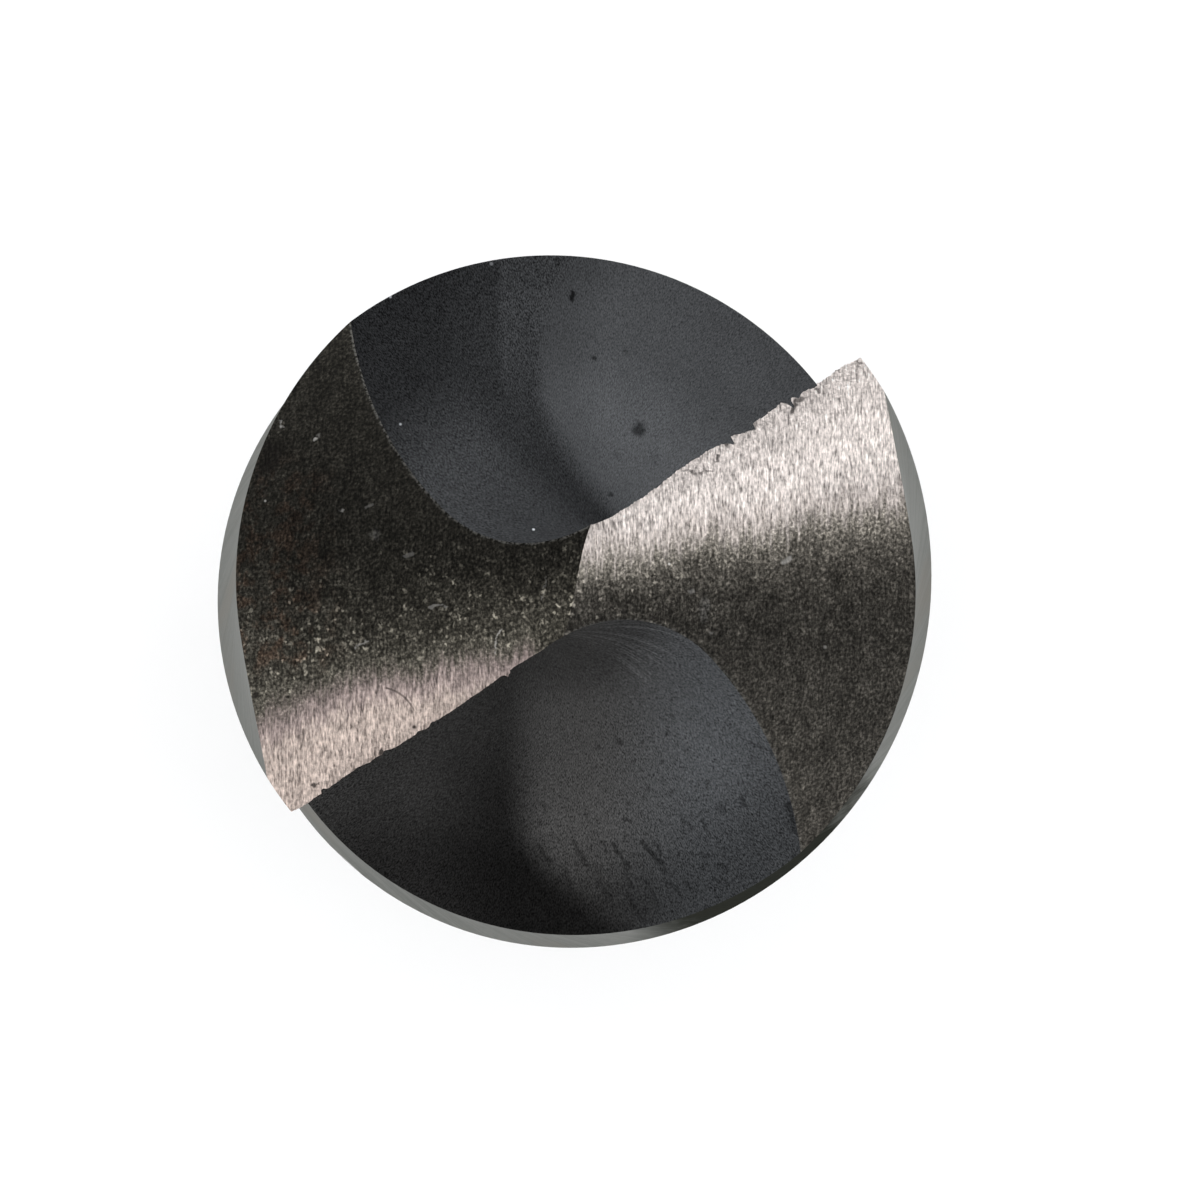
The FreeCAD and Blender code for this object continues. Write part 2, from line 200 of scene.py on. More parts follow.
def outline(kind, t, h):
    """Section-frame point of column (kind, t) at depth h; all arrays of one shape."""
    kind, t, h = np.broadcast_arrays(kind, t, h)
    out = np.zeros(h.shape + (2,))
    k = kind == FLUTE
    if k.any():
        a, b = interp_rows(h[k], "w_heel"), interp_rows(h[k], "w_lip")
        out[k] = flute_point(a + (b - a) * t[k], h[k])
    k = kind == MARGIN
    if k.any():
        a, b = interp_rows(h[k], "lip"), interp_rows(h[k], "margin")
        ang = a + (b - a) * t[k]
        out[k] = R * np.stack([np.cos(ang), np.sin(ang)], -1)
    for which, start, end in ((FLAT, "margin", "flat"), (LAND, "flat", "heel")):
        k = kind == which
        if k.any():
            a, b = interp_rows(h[k], start), interp_rows(h[k], end) - (math.pi if end == "heel" else 0.0)
            ang = a + (b - a) * t[k]
            r = cleared_radius(ang, h[k])
            out[k] = r[..., None] * np.stack([np.cos(ang), np.sin(ang)], -1)
    return out


def twisted(p, h, side=1):
    """From the section's frame to the object's frame."""
    a = -2 * math.pi * h / LEAD + (0.0 if side > 0 else math.pi)
    c, s = np.cos(a), np.sin(a)
    return np.stack([p[..., 0] * c - p[..., 1] * s, p[..., 0] * s + p[..., 1] * c], -1)


# ------------------------------------------------------------------ damage along the two cutting lips
# (distance along the lip from the axis, how far the edge stands back into its flank), mm.
# The first list of each lip is its slow waver, the second its chips.
LIP_1_WAVE = [(1.2, 0.0), (2.1, 0.10), (2.9, 0.10), (3.2, 0.105), (3.6, 0.10), (4.0, 0.065), (4.4, 0.015), (4.8, -0.03),
              (5.3, -0.075), (5.7, -0.08), (6.1, -0.065), (6.5, -0.06), (6.9, -0.08), (7.3, -0.06), (8.2, -0.05), (8.6, -0.07),
              (9.0, -0.08), (9.4, -0.13), (9.8, -0.12), (10.3, -0.04), (10.7, -0.03), (11.1, -0.05), (11.5, -0.06), (11.9, -0.09),
              (12.3, -0.08), (12.63, 0.0)]
LIP_1_CHIPS = [(3.9, 0.0), (4.15, 0.02), (4.9, 0.01), (5.35, 0.03), (5.9, 0.02), (6.5, 0.0), (6.75, 0.07), (6.98, 0.13),
               (7.12, 0.26), (7.19, 0.24), (7.24, 0.0), (7.45, 0.04), (7.75, 0.13), (8.0, 0.19), (8.08, 0.21), (8.13, 0.0),
               (8.6, 0.02), (9.1, 0.0), (9.45, 0.02), (9.53, 0.12), (9.58, 0.33), (9.65, 0.35), (9.72, 0.08), (9.82, 0.03),
               (9.96, 0.12), (10.04, 0.12), (10.12, 0.02), (10.5, 0.0), (10.66, 0.07), (10.76, 0.06), (10.84, 0.0), (11.2, 0.03),
               (11.5, 0.0), (12.0, 0.02), (12.3, 0.05), (12.55, 0.03)]
LIP_2_WAVE = [(1.2, 0.0), (1.8, 0.0), (2.3, -0.05), (2.8, -0.03), (3.3, -0.005), (4.0, -0.03), (4.8, -0.07), (5.3, -0.07),
              (5.7, -0.09), (6.5, -0.11), (6.9, -0.10), (7.3, -0.09), (7.7, -0.105), (8.2, -0.115), (8.6, -0.09), (9.0, -0.05),
              (9.4, -0.05), (9.8, -0.005), (10.2, 0.01), (10.7, -0.03), (11.1, -0.06), (11.9, -0.06), (12.3, -0.045), (12.63, 0.0)]
LIP_2_CHIPS = [(3.60, 0.0), (3.68, -0.13), (3.74, -0.05), (3.80, -0.19), (3.86, 0.0), (5.9, 0.0), (6.6, 0.02), (6.85, 0.06),
               (6.95, 0.01), (7.05, -0.04), (7.3, 0.0), (7.42, 0.05), (7.50, 0.0), (7.9, 0.02), (8.5, 0.02), (8.72, 0.09), (8.80, 0.08),
               (8.87, 0.0), (9.2, 0.03), (9.4, 0.0), (9.85, 0.04), (10.0, 0.0), (10.3, 0.01), (10.85, 0.03), (11.12, 0.04),
               (11.22, 0.13), (11.32, 0.11), (11.40, 0.02), (11.6, 0.03), (12.0, 0.0)]


def lip_damage(x, side):
    wave, chips = (LIP_1_WAVE, LIP_1_CHIPS) if side > 0 else (LIP_2_WAVE, LIP_2_CHIPS)
    w = np.interp(x, [p[0] for p in wave], [p[1] for p in wave], left=0.0, right=0.0)
    c = np.interp(x, [p[0] for p in chips], [p[1] for p in chips], left=0.0, right=0.0)
    seed = 1.0 if side > 0 else 2.7
    fine = (0.012 if side > 0 else 0.005) * (np.sin(x * 31.0 + seed) + np.sin(x * 53.0 + 2 * seed) + np.sin(x * 87.0 + 3 * seed)) * np.clip((x - 1.8) / 1.0, 0, 1)
    return w, c + fine * np.clip((12.55 - x) / 0.2, 0, 1)


# ------------------------------------------------------------------ side walls of the fluted body
class Columns:
    """All columns of one half and their damage."""


def chisel_end():
    """Where along flute 1's profile the two ground cones meet. On the heel's side of it flank 2 is the lower."""
    def gap(t):
        h = np.full(t.shape, 0.6)
        for _ in range(40):
            p = twisted(outline(FLUTE, t, h), h)
            h = LENGTH - flank_height(p[:, 0], p[:, 1], 1)
        return flank_height(p[:, 0], p[:, 1], -1) - flank_height(p[:, 0], p[:, 1], 1)
    return float(bisect(gap, [0.45], [0.80], 45)[0])


T_CHISEL = chisel_end()


def build_half(side):
    t_ch = T_CHISEL
    kinds, ts, flank = [], [], []
    t_heel = np.linspace(0, t_ch, N_HEEL + 1)
    t_lip = t_ch + (1 - t_ch) * np.linspace(0, 1, N_LIP + 1)
    for v in t_heel:
        kinds.append(FLUTE); ts.append(v); flank.append(-1)
    for v in t_lip[1:]:
        kinds.append(FLUTE); ts.append(v); flank.append(1)
    for v in np.linspace(0, 1, N_MARGIN + 1)[1:]:
        kinds.append(MARGIN); ts.append(v); flank.append(1)
    for v in np.linspace(0, 1, N_FLAT + 1)[1:]:
        kinds.append(FLAT); ts.append(v); flank.append(1)
    for v in np.linspace(0, 1, N_LAND + 1)[1:-1]:
        kinds.append(LAND); ts.append(v); flank.append(1)
    c = Columns()
    c.kind, c.t, c.flank = np.array(kinds), np.array(ts), np.array(flank)
    c.chisel = N_HEEL
    c.corner = N_HEEL + N_LIP
    return c


def solve_top(c, side, wave, chip, rounds=50):
    """Depth at which each column meets its flank."""
    lo, hi = np.full(len(c.kind), -0.4), np.full(len(c.kind), 16.0)
    for _ in range(rounds):
        mid = (lo + hi) / 2
        p = column_points(c, mid, wave, chip, np.zeros_like(mid), side)
        below = (LENGTH - mid) < flank_height(p[:, 0], p[:, 1], np.where(c.flank > 0, side, -side))
        hi = np.where(below, mid, hi)
        lo = np.where(below, lo, mid)
    return (lo + hi) / 2


def column_points(c, h, wave, chip, down, side):
    """Object-frame xy of the columns at depth h; down is the depth below the column's top."""
    p = outline(c.kind, c.t, h)
    fl = c.kind == FLUTE
    a, b = interp_rows(h, "w_heel"), interp_rows(h, "w_lip")
    n = flute_normal(a + (b - a) * c.t)
    fade_w = np.exp(-(np.maximum(down, 0) / 5.0) ** 2)
    fade_c = np.clip(1 - down / (0.25 + 3.2 * np.abs(chip)), 0, 1) ** 1.5
    push = np.where(fl & (c.flank > 0), wave * fade_w + chip * fade_c, 0.0)
    # the corner column is shared with the margin and stays on the blank's surface
    p = p + n * push[..., None]
    return twisted(p, h, side)


def half_mesh(side):
    c = build_half(side)
    wave = chip = np.zeros(len(c.kind))
    h0 = solve_top(c, side, wave, chip)
    p0 = column_points(c, h0, wave, chip, np.zeros_like(h0), side)
    along = side * p0[:, 0]
    lipcol = (c.kind == FLUTE) & (c.flank > 0)
    w, k = lip_damage(along, side)
    wave, chip = np.where(lipcol, w, 0.0), np.where(lipcol, k, 0.0)
    wave[c.chisel] = chip[c.chisel] = 0.0
    wave[c.corner] = chip[c.corner] = 0.0
    c.wave, c.chip = wave, chip
    c.top = solve_top(c, side, wave, chip)
    return c


H_JOIN = 13.2
halves = {1: half_mesh(1), -1: half_mesh(-1)}
n_half = len(halves[1].kind)

verts = []          # mm
n_verts = 0
tris = []           # (i, j, k, material)
quads = []
GROUND_1, GROUND_2, OXIDE, BRIGHT, SHANK, CLEARED, OXIDE_2 = 0, 1, 2, 3, 4, 5, 6


def add_verts(a):
    global n_verts
    first = n_verts
    verts.append(np.asarray(a, float))
    n_verts += len(a)
    return np.arange(first, n_verts)


def mat_of(kind_a, kind_b):
    """Finish of the strip that ends at column b."""
    land = np.where((kind_b == MARGIN), BRIGHT, CLEARED)
    return np.where((kind_a == FLUTE) & (kind_b == FLUTE), OXIDE, land)


# upper rows: every column, graded from its own top down to H_JOIN
ROWS = 34
grade = np.linspace(0, 1, ROWS + 1)
grade = 0.35 * grade + 0.65 * grade ** 3
upper = []
for side in (1, -1):
    c = halves[side]
    rows = []
    for g in grade:
        h = c.top + (H_JOIN - c.top) * g
        p = column_points(c, h, c.wave, c.chip, h - c.top, side)
        rows.append(np.column_stack([p, LENGTH - h]))
    upper.append(rows)
ring_kind = np.concatenate([halves[1].kind, halves[-1].kind])
all_ids = []
for r in range(ROWS + 1):
    all_ids.append(add_verts(np.concatenate([upper[0][r], upper[1][r]])))
n_ring = 2 * n_half
# kind of the strip between column i and i+1
nxt = (np.arange(n_ring) + 1) % n_ring
strip_mat = mat_of(ring_kind, ring_kind[nxt])
strip_mat[(strip_mat == OXIDE) & (np.arange(n_ring) >= n_half - 1)] = OXIDE_2


def join_rows(a, b, mats):
    """Quads between two rings of one size, a above b."""
    n = len(a)
    for i in range(n):
        j = (i + 1) % n
        quads.append((a[i], b[i], b[j], a[j], int(mats[i])))


for r in range(ROWS):
    join_rows(all_ids[r], all_ids[r + 1], strip_mat)

# 2:1 change to the coarser rings, at H_JOIN
assert n_half % 2 == 0 and N_HEEL % 2 == 0 and N_LIP % 2 == 0 and N_MARGIN % 2 == 0 and N_FLAT % 2 == 0
even = np.arange(0, n_ring, 2)
coarse_kind = ring_kind[even]
c_even = {}
for side in (1, -1):
    c = halves[side]
    k = Columns()
    k.kind, k.t, k.flank = c.kind[::2], c.t[::2], c.flank[::2]
    k.wave, k.chip, k.top = c.wave[::2], c.chip[::2], c.top[::2]
    c_even[side] = k
coarse_next = (np.arange(len(even)) + 1) % len(even)
coarse_mat = mat_of(coarse_kind, coarse_kind[coarse_next])
coarse_mat[(coarse_mat == OXIDE) & (np.arange(len(even)) >= len(even) // 2 - 1)] = OXIDE_2


def coarse_ring(h):
    out = []
    for side in (1, -1):
        k = c_even[side]
        hh = np.full(len(k.kind), h)
        p = column_points(k, hh, k.wave, np.zeros(len(k.kind)), hh - k.top, side)
        out.append(np.column_stack([p, np.full(len(hh), LENGTH - h)]))
    return np.concatenate(out)


levels = list(np.linspace(H_JOIN, 49.2, 52)[1:])
levels += list(np.linspace(49.2, 72.0, 40)[1:])
levels += list(FLUTE_END - (FLUTE_END - 72.0) * np.linspace(1.0, 0.0, 26)[1:] ** 2)
first = add_verts(coarse_ring(levels[0]))
last = all_ids[ROWS]
for i in range(len(even)):
    a, m, b = last[2 * i], last[2 * i + 1], last[(2 * i + 2) % n_ring]
    u, v = first[i], first[coarse_next[i]]
    mat = int(coarse_mat[i])
    tris.append((a, u, m, mat)); tris.append((m, u, v, mat)); tris.append((m, v, b, mat))
prev = first
for h in levels[1:]:
    ring = add_verts(coarse_ring(h))
    join_rows(prev, ring, coarse_mat)
    prev = ring

# ------------------------------------------------------------------ collar, shoulder and shank, turned
def round_corner(pts, radius, n=4):
    """Profile (radius, height) with each listed corner broken by a small arc."""
    out = [pts[0]]
    for i in range(1, len(pts) - 1):
        p, q, s = np.array(pts[i - 1]), np.array(pts[i]), np.array(pts[i + 1])
        rad = radius[i]
        if rad <= 0:
            out.append(tuple(q)); continue
        u, v = (p - q) / np.linalg.norm(p - q), (s - q) / np.linalg.norm(s - q)
        half = math.acos(np.clip(u @ v, -1, 1)) / 2
        t = rad / math.tan(half)
        a, b = q + u * t, q + v * t
        centre = q + (u + v) / np.linalg.norm(u + v) * rad / math.sin(half)
        a0, a1 = math.atan2(*(a - centre)[::-1]), math.atan2(*(b - centre)[::-1])
        d = (a1 - a0 + math.pi) % (2 * math.pi) - math.pi
        for k in range(n + 1):
            ang = a0 + d * k / n
            out.append(tuple(centre + rad * np.array([math.cos(ang), math.sin(ang)])))
    out.append(pts[-1])
    return out


z_end = LENGTH - FLUTE_END
profile_pts = [(R, z_end), (R, 59.75), (10.1, 57.15), (RS, 57.15), (RS, 0.6), (RS - 0.6, 0.0), (0.0, 0.0)]
profile_rad = [0, 0.12, 0.12, 1.0, 0.08, 0.06, 0]
prof = round_corner(profile_pts, profile_rad, 10)
# add rings along the long straight stretches
dense = [prof[0]]
for a, b in zip(prof[:-1], prof[1:]):
    gap = math.hypot(b[0] - a[0], b[1] - a[1])
    n = max(1, int(math.ceil(gap / 3.0)))
    for k in range(1, n + 1):
        dense.append((a[0] + (b[0] - a[0]) * k / n, a[1] + (b[1] - a[1]) * k / n))
prof = dense[1:]
# bearings of the last fluted ring; its flute columns have met in one point each
last_ring = coarse_ring(levels[-1])
ang = np.arctan2(last_ring[:, 1], last_ring[:, 0])
keep = []
for i in range(len(ang)):
    j = (i - 1) % len(ang)
    gap = np.hypot(*(last_ring[i, :2] - last_ring[j, :2]))
    if gap > 1e-4:
        keep.append(i)
keep = np.array(keep)
solid_ids = prev[keep]
solid_ang = ang[keep]
for r_, z_ in prof[:-1]:
    ring = add_verts(np.column_stack([r_ * np.cos(solid_ang), r_ * np.sin(solid_ang), np.full(len(keep), z_)]))
    join_rows(solid_ids, ring, np.full(len(keep), BRIGHT if z_ > 59.7 else SHANK))
    solid_ids = ring
centre = add_verts([(0.0, 0.0, 0.0)])[0]
for i in range(len(solid_ids)):
    tris.append((solid_ids[i], centre, solid_ids[(i + 1) % len(solid_ids)], SHANK))

# ------------------------------------------------------------------ the two flanks
top_xy = {1: upper[0][0], -1: upper[1][0]}


def chisel_edge(n=44):
    """Interior points of the ridge in which the flanks meet, from lip 1's end to lip 2's."""
    a = top_xy[1][halves[1].chisel][:2]
    d = a / np.linalg.norm(a)
    e = np.array([-d[1], d[0]])
    s = np.linalg.norm(a) * np.linspace(1, -1, n + 1)[1:-1]

    def diff(v):
        x, y = s * d[0] + v * e[0], s * d[1] + v * e[1]
        return flank_height(x, y, 1) - flank_height(x, y, -1)
    v = bisect(diff, np.full(len(s), -0.8), np.full(len(s), 0.8), 60)
    x, y = s * d[0] + v * e[0], s * d[1] + v * e[1]
    if np.abs(flank_height(x, y, 1) - flank_height(x, y, -1)).max() > 1e-4:
        v = bisect(lambda q: -diff(q), np.full(len(s), -0.8), np.full(len(s), 0.8), 60)
        x, y = s * d[0] + v * e[0], s * d[1] + v * e[1]
    return np.column_stack([x, y, flank_height(x, y, 1)])


ridge = chisel_edge()
ridge_ids = add_verts(ridge)
ch = halves[1].chisel
top_row = all_ids[0]
# loop of flank 1: chisel end 1, lip 1, land 1, the heel's side of flute 2 to chisel end 2, and back along the ridge
loop_1 = list(top_row[ch:n_half]) + list(top_row[n_half:n_half + ch + 1]) + list(ridge_ids[::-1])
loop_2 = list(top_row[n_half + ch:]) + list(top_row[:ch + 1]) + list(ridge_ids)


def inside_loop(pts, loop):
    x, y = pts[:, 0], pts[:, 1]
    hit = np.zeros(len(pts), bool)
    far = np.full(len(pts), 1e9)
    q = np.roll(loop, -1, axis=0)
    for (x0, y0), (x1, y1) in zip(loop, q):
        cross = (y0 > y) != (y1 > y)
        with np.errstate(divide="ignore", invalid="ignore"):
            xi = x0 + (y - y0) * (x1 - x0) / (y1 - y0)
        hit ^= cross & (x < xi)
        dx, dy = x1 - x0, y1 - y0
        t = np.clip(((x - x0) * dx + (y - y0) * dy) / max(dx * dx + dy * dy, 1e-12), 0, 1)
        far = np.minimum(far, np.hypot(x - x0 - t * dx, y - y0 - t * dy))
    return hit, far


def flank_mesh(loop_ids, side, mat, spacing=0.135):
    all_v = np.concatenate(verts)
    loop = all_v[loop_ids][:, :2]
    lo, hi = loop.min(0), loop.max(0)
    nx, ny = int((hi[0] - lo[0]) / spacing) + 2, int((hi[1] - lo[1]) / (spacing * 0.866)) + 2
    gx, gy = np.meshgrid(np.arange(nx), np.arange(ny))
    pts = np.column_stack([(lo[0] + (gx + 0.5 * (gy % 2)) * spacing).ravel(), (lo[1] + gy * spacing * 0.866).ravel()])
    hit, far = inside_loop(pts, loop)
    pts = pts[hit & (far > spacing * 0.62)]
    coords = [Vector((float(x), float(y))) for x, y in np.concatenate([loop, pts])]
    n = len(loop)
    edges = [(i, (i + 1) % n) for i in range(n)]
    vo, eo, fo, ov, oe, of = delaunay_2d_cdt(coords, edges, [], 0, 1e-7, True)
    ids = np.full(len(vo), -1, int)
    extra = []
    for i, src in enumerate(ov):
        s = [q for q in src]
        if s and min(s) < n:
            ids[i] = loop_ids[min(s)]
        else:
            extra.append(i)
    exy = np.array([vo[i][:] for i in extra])
    z = flank_height(exy[:, 0], exy[:, 1], side)
    new = add_verts(np.column_stack([exy, z]))
    for i, g in zip(extra, new):
        ids[i] = g
    mid = np.array([np.mean([vo[i][:] for i in f], axis=0) for f in fo])
    good, _ = inside_loop(mid, loop)
    for f, ok in zip(fo, good):
        if ok:
            a, b, c = (ids[i] for i in f)
            if len({a, b, c}) == 3:
                tris.append((a, b, c, mat))


flank_mesh(loop_1, 1, GROUND_1)
flank_mesh(loop_2, -1, GROUND_2)

# ------------------------------------------------------------------ one mesh
all_v = np.concatenate(verts) * MM
faces, mats = [], []
for a, b, c, m in tris:
    faces.append((int(a), int(b), int(c))); mats.append(m)
for a, b, c, d, m in quads:
    faces.append((int(a), int(b), int(c), int(d))); mats.append(m)
mesh = bpy.data.meshes.new("drill_surface")
mesh.from_pydata([tuple(v) for v in all_v], [], faces)
mesh.polygons.foreach_set("material_index", np.array(mats, np.int32))
mesh.update()

import bmesh
bm = bmesh.new()
bm.from_mesh(mesh)
bmesh.ops.remove_doubles(bm, verts=bm.verts, dist=2e-6 * 0.5)
bmesh.ops.dissolve_degenerate(bm, edges=bm.edges, dist=1e-7)
bmesh.ops.recalc_face_normals(bm, faces=bm.faces)
if bm.calc_volume() < 0:
    bmesh.ops.reverse_faces(bm, faces=bm.faces)
open_edges = sum(1 for e in bm.edges if not e.is_manifold)
print("volume mm3 %.1f, open or shared edges %d, faces %d, triangles %d" % (
    bm.calc_volume() * 1e9, open_edges, len(bm.faces), sum(len(f.verts) - 2 for f in bm.faces)))
for f in bm.faces:
    f.smooth = True
bm.to_mesh(mesh)
bm.free()
mesh.set_sharp_from_angle(angle=math.radians(14))
mesh.validate()

drill = bpy.data.objects.new("drill_surface", mesh)
bpy.context.scene.collection.objects.link(drill)
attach(drill, "root")
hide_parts("drill_bit")


# ------------------------------------------------------------------ materials
class Nodes:
    """Short forms for building one material's node tree."""

    def __init__(self, name):
        self.mat = bpy.data.materials.new(name)
        self.mat.use_nodes = True
        self.nt = self.mat.node_tree
        for n in list(self.nt.nodes):
            self.nt.nodes.remove(n)
        out = self.nt.nodes.new("ShaderNodeOutputMaterial")
        self.bsdf = self.nt.nodes.new("ShaderNodeBsdfPrincipled")
        self.nt.links.new(self.bsdf.outputs[0], out.inputs[0])

    def put(self, value, socket):
        if isinstance(value, bpy.types.NodeSocket):
            self.nt.links.new(value, socket)
        elif value is not None:
            socket.default_value = value

    def set(self, name, value):
        self.put(value, self.bsdf.inputs[name])

    def coords(self, turn=0.0):
        """Object coordinates in millimetres, turned about the drill's axis."""
        tc = self.nt.nodes.new("ShaderNodeTexCoord")
        return self.mapping(tc.outputs["Object"], rot=(0, 0, turn), scale=(1000, 1000, 1000))

    def mapping(self, vec, loc=(0, 0, 0), rot=(0, 0, 0), scale=(1, 1, 1)):
        n = self.nt.nodes.new("ShaderNodeMapping")
        self.put(vec, n.inputs["Vector"])
        n.inputs["Location"].default_value = loc
        n.inputs["Rotation"].default_value = rot
        n.inputs["Scale"].default_value = scale
        return n.outputs[0]

    def split(self, vec):
        n = self.nt.nodes.new("ShaderNodeSeparateXYZ")
        self.put(vec, n.inputs[0])
        return n.outputs[0], n.outputs[1], n.outputs[2]

    def join(self, x, y, z):
        n = self.nt.nodes.new("ShaderNodeCombineXYZ")
        for v, s in zip((x, y, z), n.inputs):
            self.put(v, s)
        return n.outputs[0]

    def math(self, op, a, b=None, c=None, clamp=False):
        n = self.nt.nodes.new("ShaderNodeMath")
        n.operation, n.use_clamp = op, clamp
        for v, s in zip((a, b, c), n.inputs):
            self.put(v, s)
        return n.outputs[0]

    def vmath(self, op, a, b=None):
        n = self.nt.nodes.new("ShaderNodeVectorMath")
        n.operation = op
        self.put(a, n.inputs[0])
        self.put(b, n.inputs[1])
        return n.outputs["Value"] if op in ("DISTANCE", "LENGTH", "DOT_PRODUCT") else n.outputs[0]

    def noise(self, vec, scale=1.0, detail=3.0, rough=0.55, twist=0.0):
        n = self.nt.nodes.new("ShaderNodeTexNoise")
        self.put(vec, n.inputs["Vector"])
        n.inputs["Scale"].default_value = scale
        n.inputs["Detail"].default_value = detail
        n.inputs["Roughness"].default_value = rough
        n.inputs["Distortion"].default_value = twist
        return n.outputs[0]

    def smooth(self, value, lo, hi, a=0.0, b=1.0):
        n = self.nt.nodes.new("ShaderNodeMapRange")
        n.interpolation_type = "SMOOTHSTEP"
        self.put(value, n.inputs["Value"])
        n.inputs["From Min"].default_value, n.inputs["From Max"].default_value = lo, hi
        n.inputs["To Min"].default_value, n.inputs["To Max"].default_value = a, b
        return n.outputs[0]

    def ramp(self, fac, stops):
        n = self.nt.nodes.new("ShaderNodeValToRGB")
        el = n.color_ramp.elements
        while len(el) > 1:
            el.remove(el[-1])
        for i, (pos, col) in enumerate(stops):
            e = el[0] if i == 0 else el.new(pos)
            e.position, e.color = pos, (*col, 1.0)
        self.put(fac, n.inputs[0])
        return n.outputs[0]

    def mix(self, fac, a, b, kind="MIX"):
        n = self.nt.nodes.new("ShaderNodeMix")
        n.data_type, n.blend_type = "RGBA", kind
        self.put(fac, n.inputs[0])
        self.put(a if isinstance(a, bpy.types.NodeSocket) else (*a, 1.0), n.inputs[6])
        self.put(b if isinstance(b, bpy.types.NodeSocket) else (*b, 1.0), n.inputs[7])
        return n.outputs[2]

    def bump(self, height, distance, strength=1.0, normal=None):
        n = self.nt.nodes.new("ShaderNodeBump")
        n.inputs["Strength"].default_value = strength
        n.inputs["Distance"].default_value = distance
        self.put(height, n.inputs["Height"])
        if normal is not None:
            self.put(normal, n.inputs["Normal"])
        return n.outputs[0]

    # marks on a plane, in mm
    def dot(self, q, centre, inner, outer):
        d = self.vmath("DISTANCE", q, (*centre, 0.0))
        return self.smooth(d, inner, outer, 1.0, 0.0)

    def stroke(self, q, a, b, width):
        """1 on the line from a to b, 0 beyond width."""
        a, b = np.array(a, float), np.array(b, float)
        ab = b - a
        k = ab / (ab @ ab)
        rel = self.vmath("SUBTRACT", q, (a[0], a[1], 0.0))
        t = self.math("ADD", self.vmath("DOT_PRODUCT", rel, (k[0], k[1], 0.0)), 0.0, clamp=True)
        foot = self.join(self.math("MULTIPLY", t, float(ab[0])), self.math("MULTIPLY", t, float(ab[1])), 0.0)
        return self.smooth(self.vmath("DISTANCE", rel, foot), width * 0.35, width, 1.0, 0.0)

    def arc(self, q, centre, radius, start, end, width):
        """1 on an arc of a circle; start and end in degrees."""
        rel = self.vmath("SUBTRACT", q, (*centre, 0.0))
        x, y, _ = self.split(rel)
        ring = self.math("ABSOLUTE", self.math("SUBTRACT", self.vmath("LENGTH", rel), radius))
        ang = self.math("ARCTAN2", y, x)
        m, h = math.radians((start + end) / 2), math.radians(abs(end - start) / 2)
        off = self.math("ABSOLUTE", self.math("SUBTRACT", ang, m))
        return self.math("MULTIPLY", self.smooth(ring, width * 0.35, width, 1.0, 0.0), self.smooth(off, h * 0.8, h, 1.0, 0.0))

    def warp(self, vec, scale, amount):
        """The coordinates shifted a little by a noise, so that what is drawn with them gets ragged."""
        n = self.nt.nodes.new("ShaderNodeTexNoise")
        self.put(vec, n.inputs["Vector"])
        n.inputs["Scale"].default_value = scale
        n.inputs["Detail"].default_value = 2.0
        shift = self.vmath("SUBTRACT", n.outputs["Color"], (0.5, 0.5, 0.5))
        return self.vmath("ADD", vec, self.vmath("MULTIPLY", shift, (amount, amount, amount)))

    def spots(self, vec, chance, inner, outer):
        """Scattered spots: some cells of a unit pattern hold one. Also a random number for each cell."""
        n = self.nt.nodes.new("ShaderNodeTexVoronoi")
        n.inputs["Scale"].default_value = 1.0
        self.put(vec, n.inputs["Vector"])
        here = self.smooth(n.outputs["Distance"], inner, outer, 1.0, 0.0)
        a, b, _ = self.split(n.outputs["Color"])
        return self.math("MULTIPLY", here, self.math("LESS_THAN", a, chance)), b

    def over(self, a, low, high):
        """a brought from 0..1 to low..high."""
        return self.math("MULTIPLY_ADD", a, high - low, low)

    def product(self, *items):
        out = items[0]
        for i in items[1:]:
            out = self.math("MULTIPLY", out, i)
        return out

    def grey(self, value):
        return self.join(value, value, value)

    def most(self, items):
        out = items[0]
        for i in items[1:]:
            out = self.math("MAXIMUM", out, i)
        return out


def heel_line(side, n):
    """Points, in the photograph's axes, along the edge between flank `side` and the flute behind it."""
    xy = top_xy[-side][:N_HEEL + 1, :2]
    pick = np.linspace(0, N_HEEL, n).round().astype(int)
    return [(float(RIGHT[:2] @ xy[i]), float(UP[:2] @ xy[i])) for i in pick]


# brightness of the ground steel, painted light and shade: a painted highlight along the lip and painted shade behind
# it, over the distance in mm from the line where the one gives way to the other
PAINTED_SHEEN_AND_SHADE = {1: [(-4.0, 0.066), (-2.8, 0.066), (-2.07, 0.069), (-1.4, 0.077), (-0.69, 0.103), (0.0, 0.224), (0.69, 0.435), (1.4, 0.55), (2.2, 0.60), (4.0, 0.62)],
         -1: [(-4.0, 0.030), (-2.9, 0.033), (-2.2, 0.035), (-1.5, 0.037), (-0.85, 0.043), (-0.40, 0.060), (-0.05, 0.092), (0.30, 0.16), (0.63, 0.25), (1.25, 0.40), (2.2, 0.46), (4.0, 0.48)]}


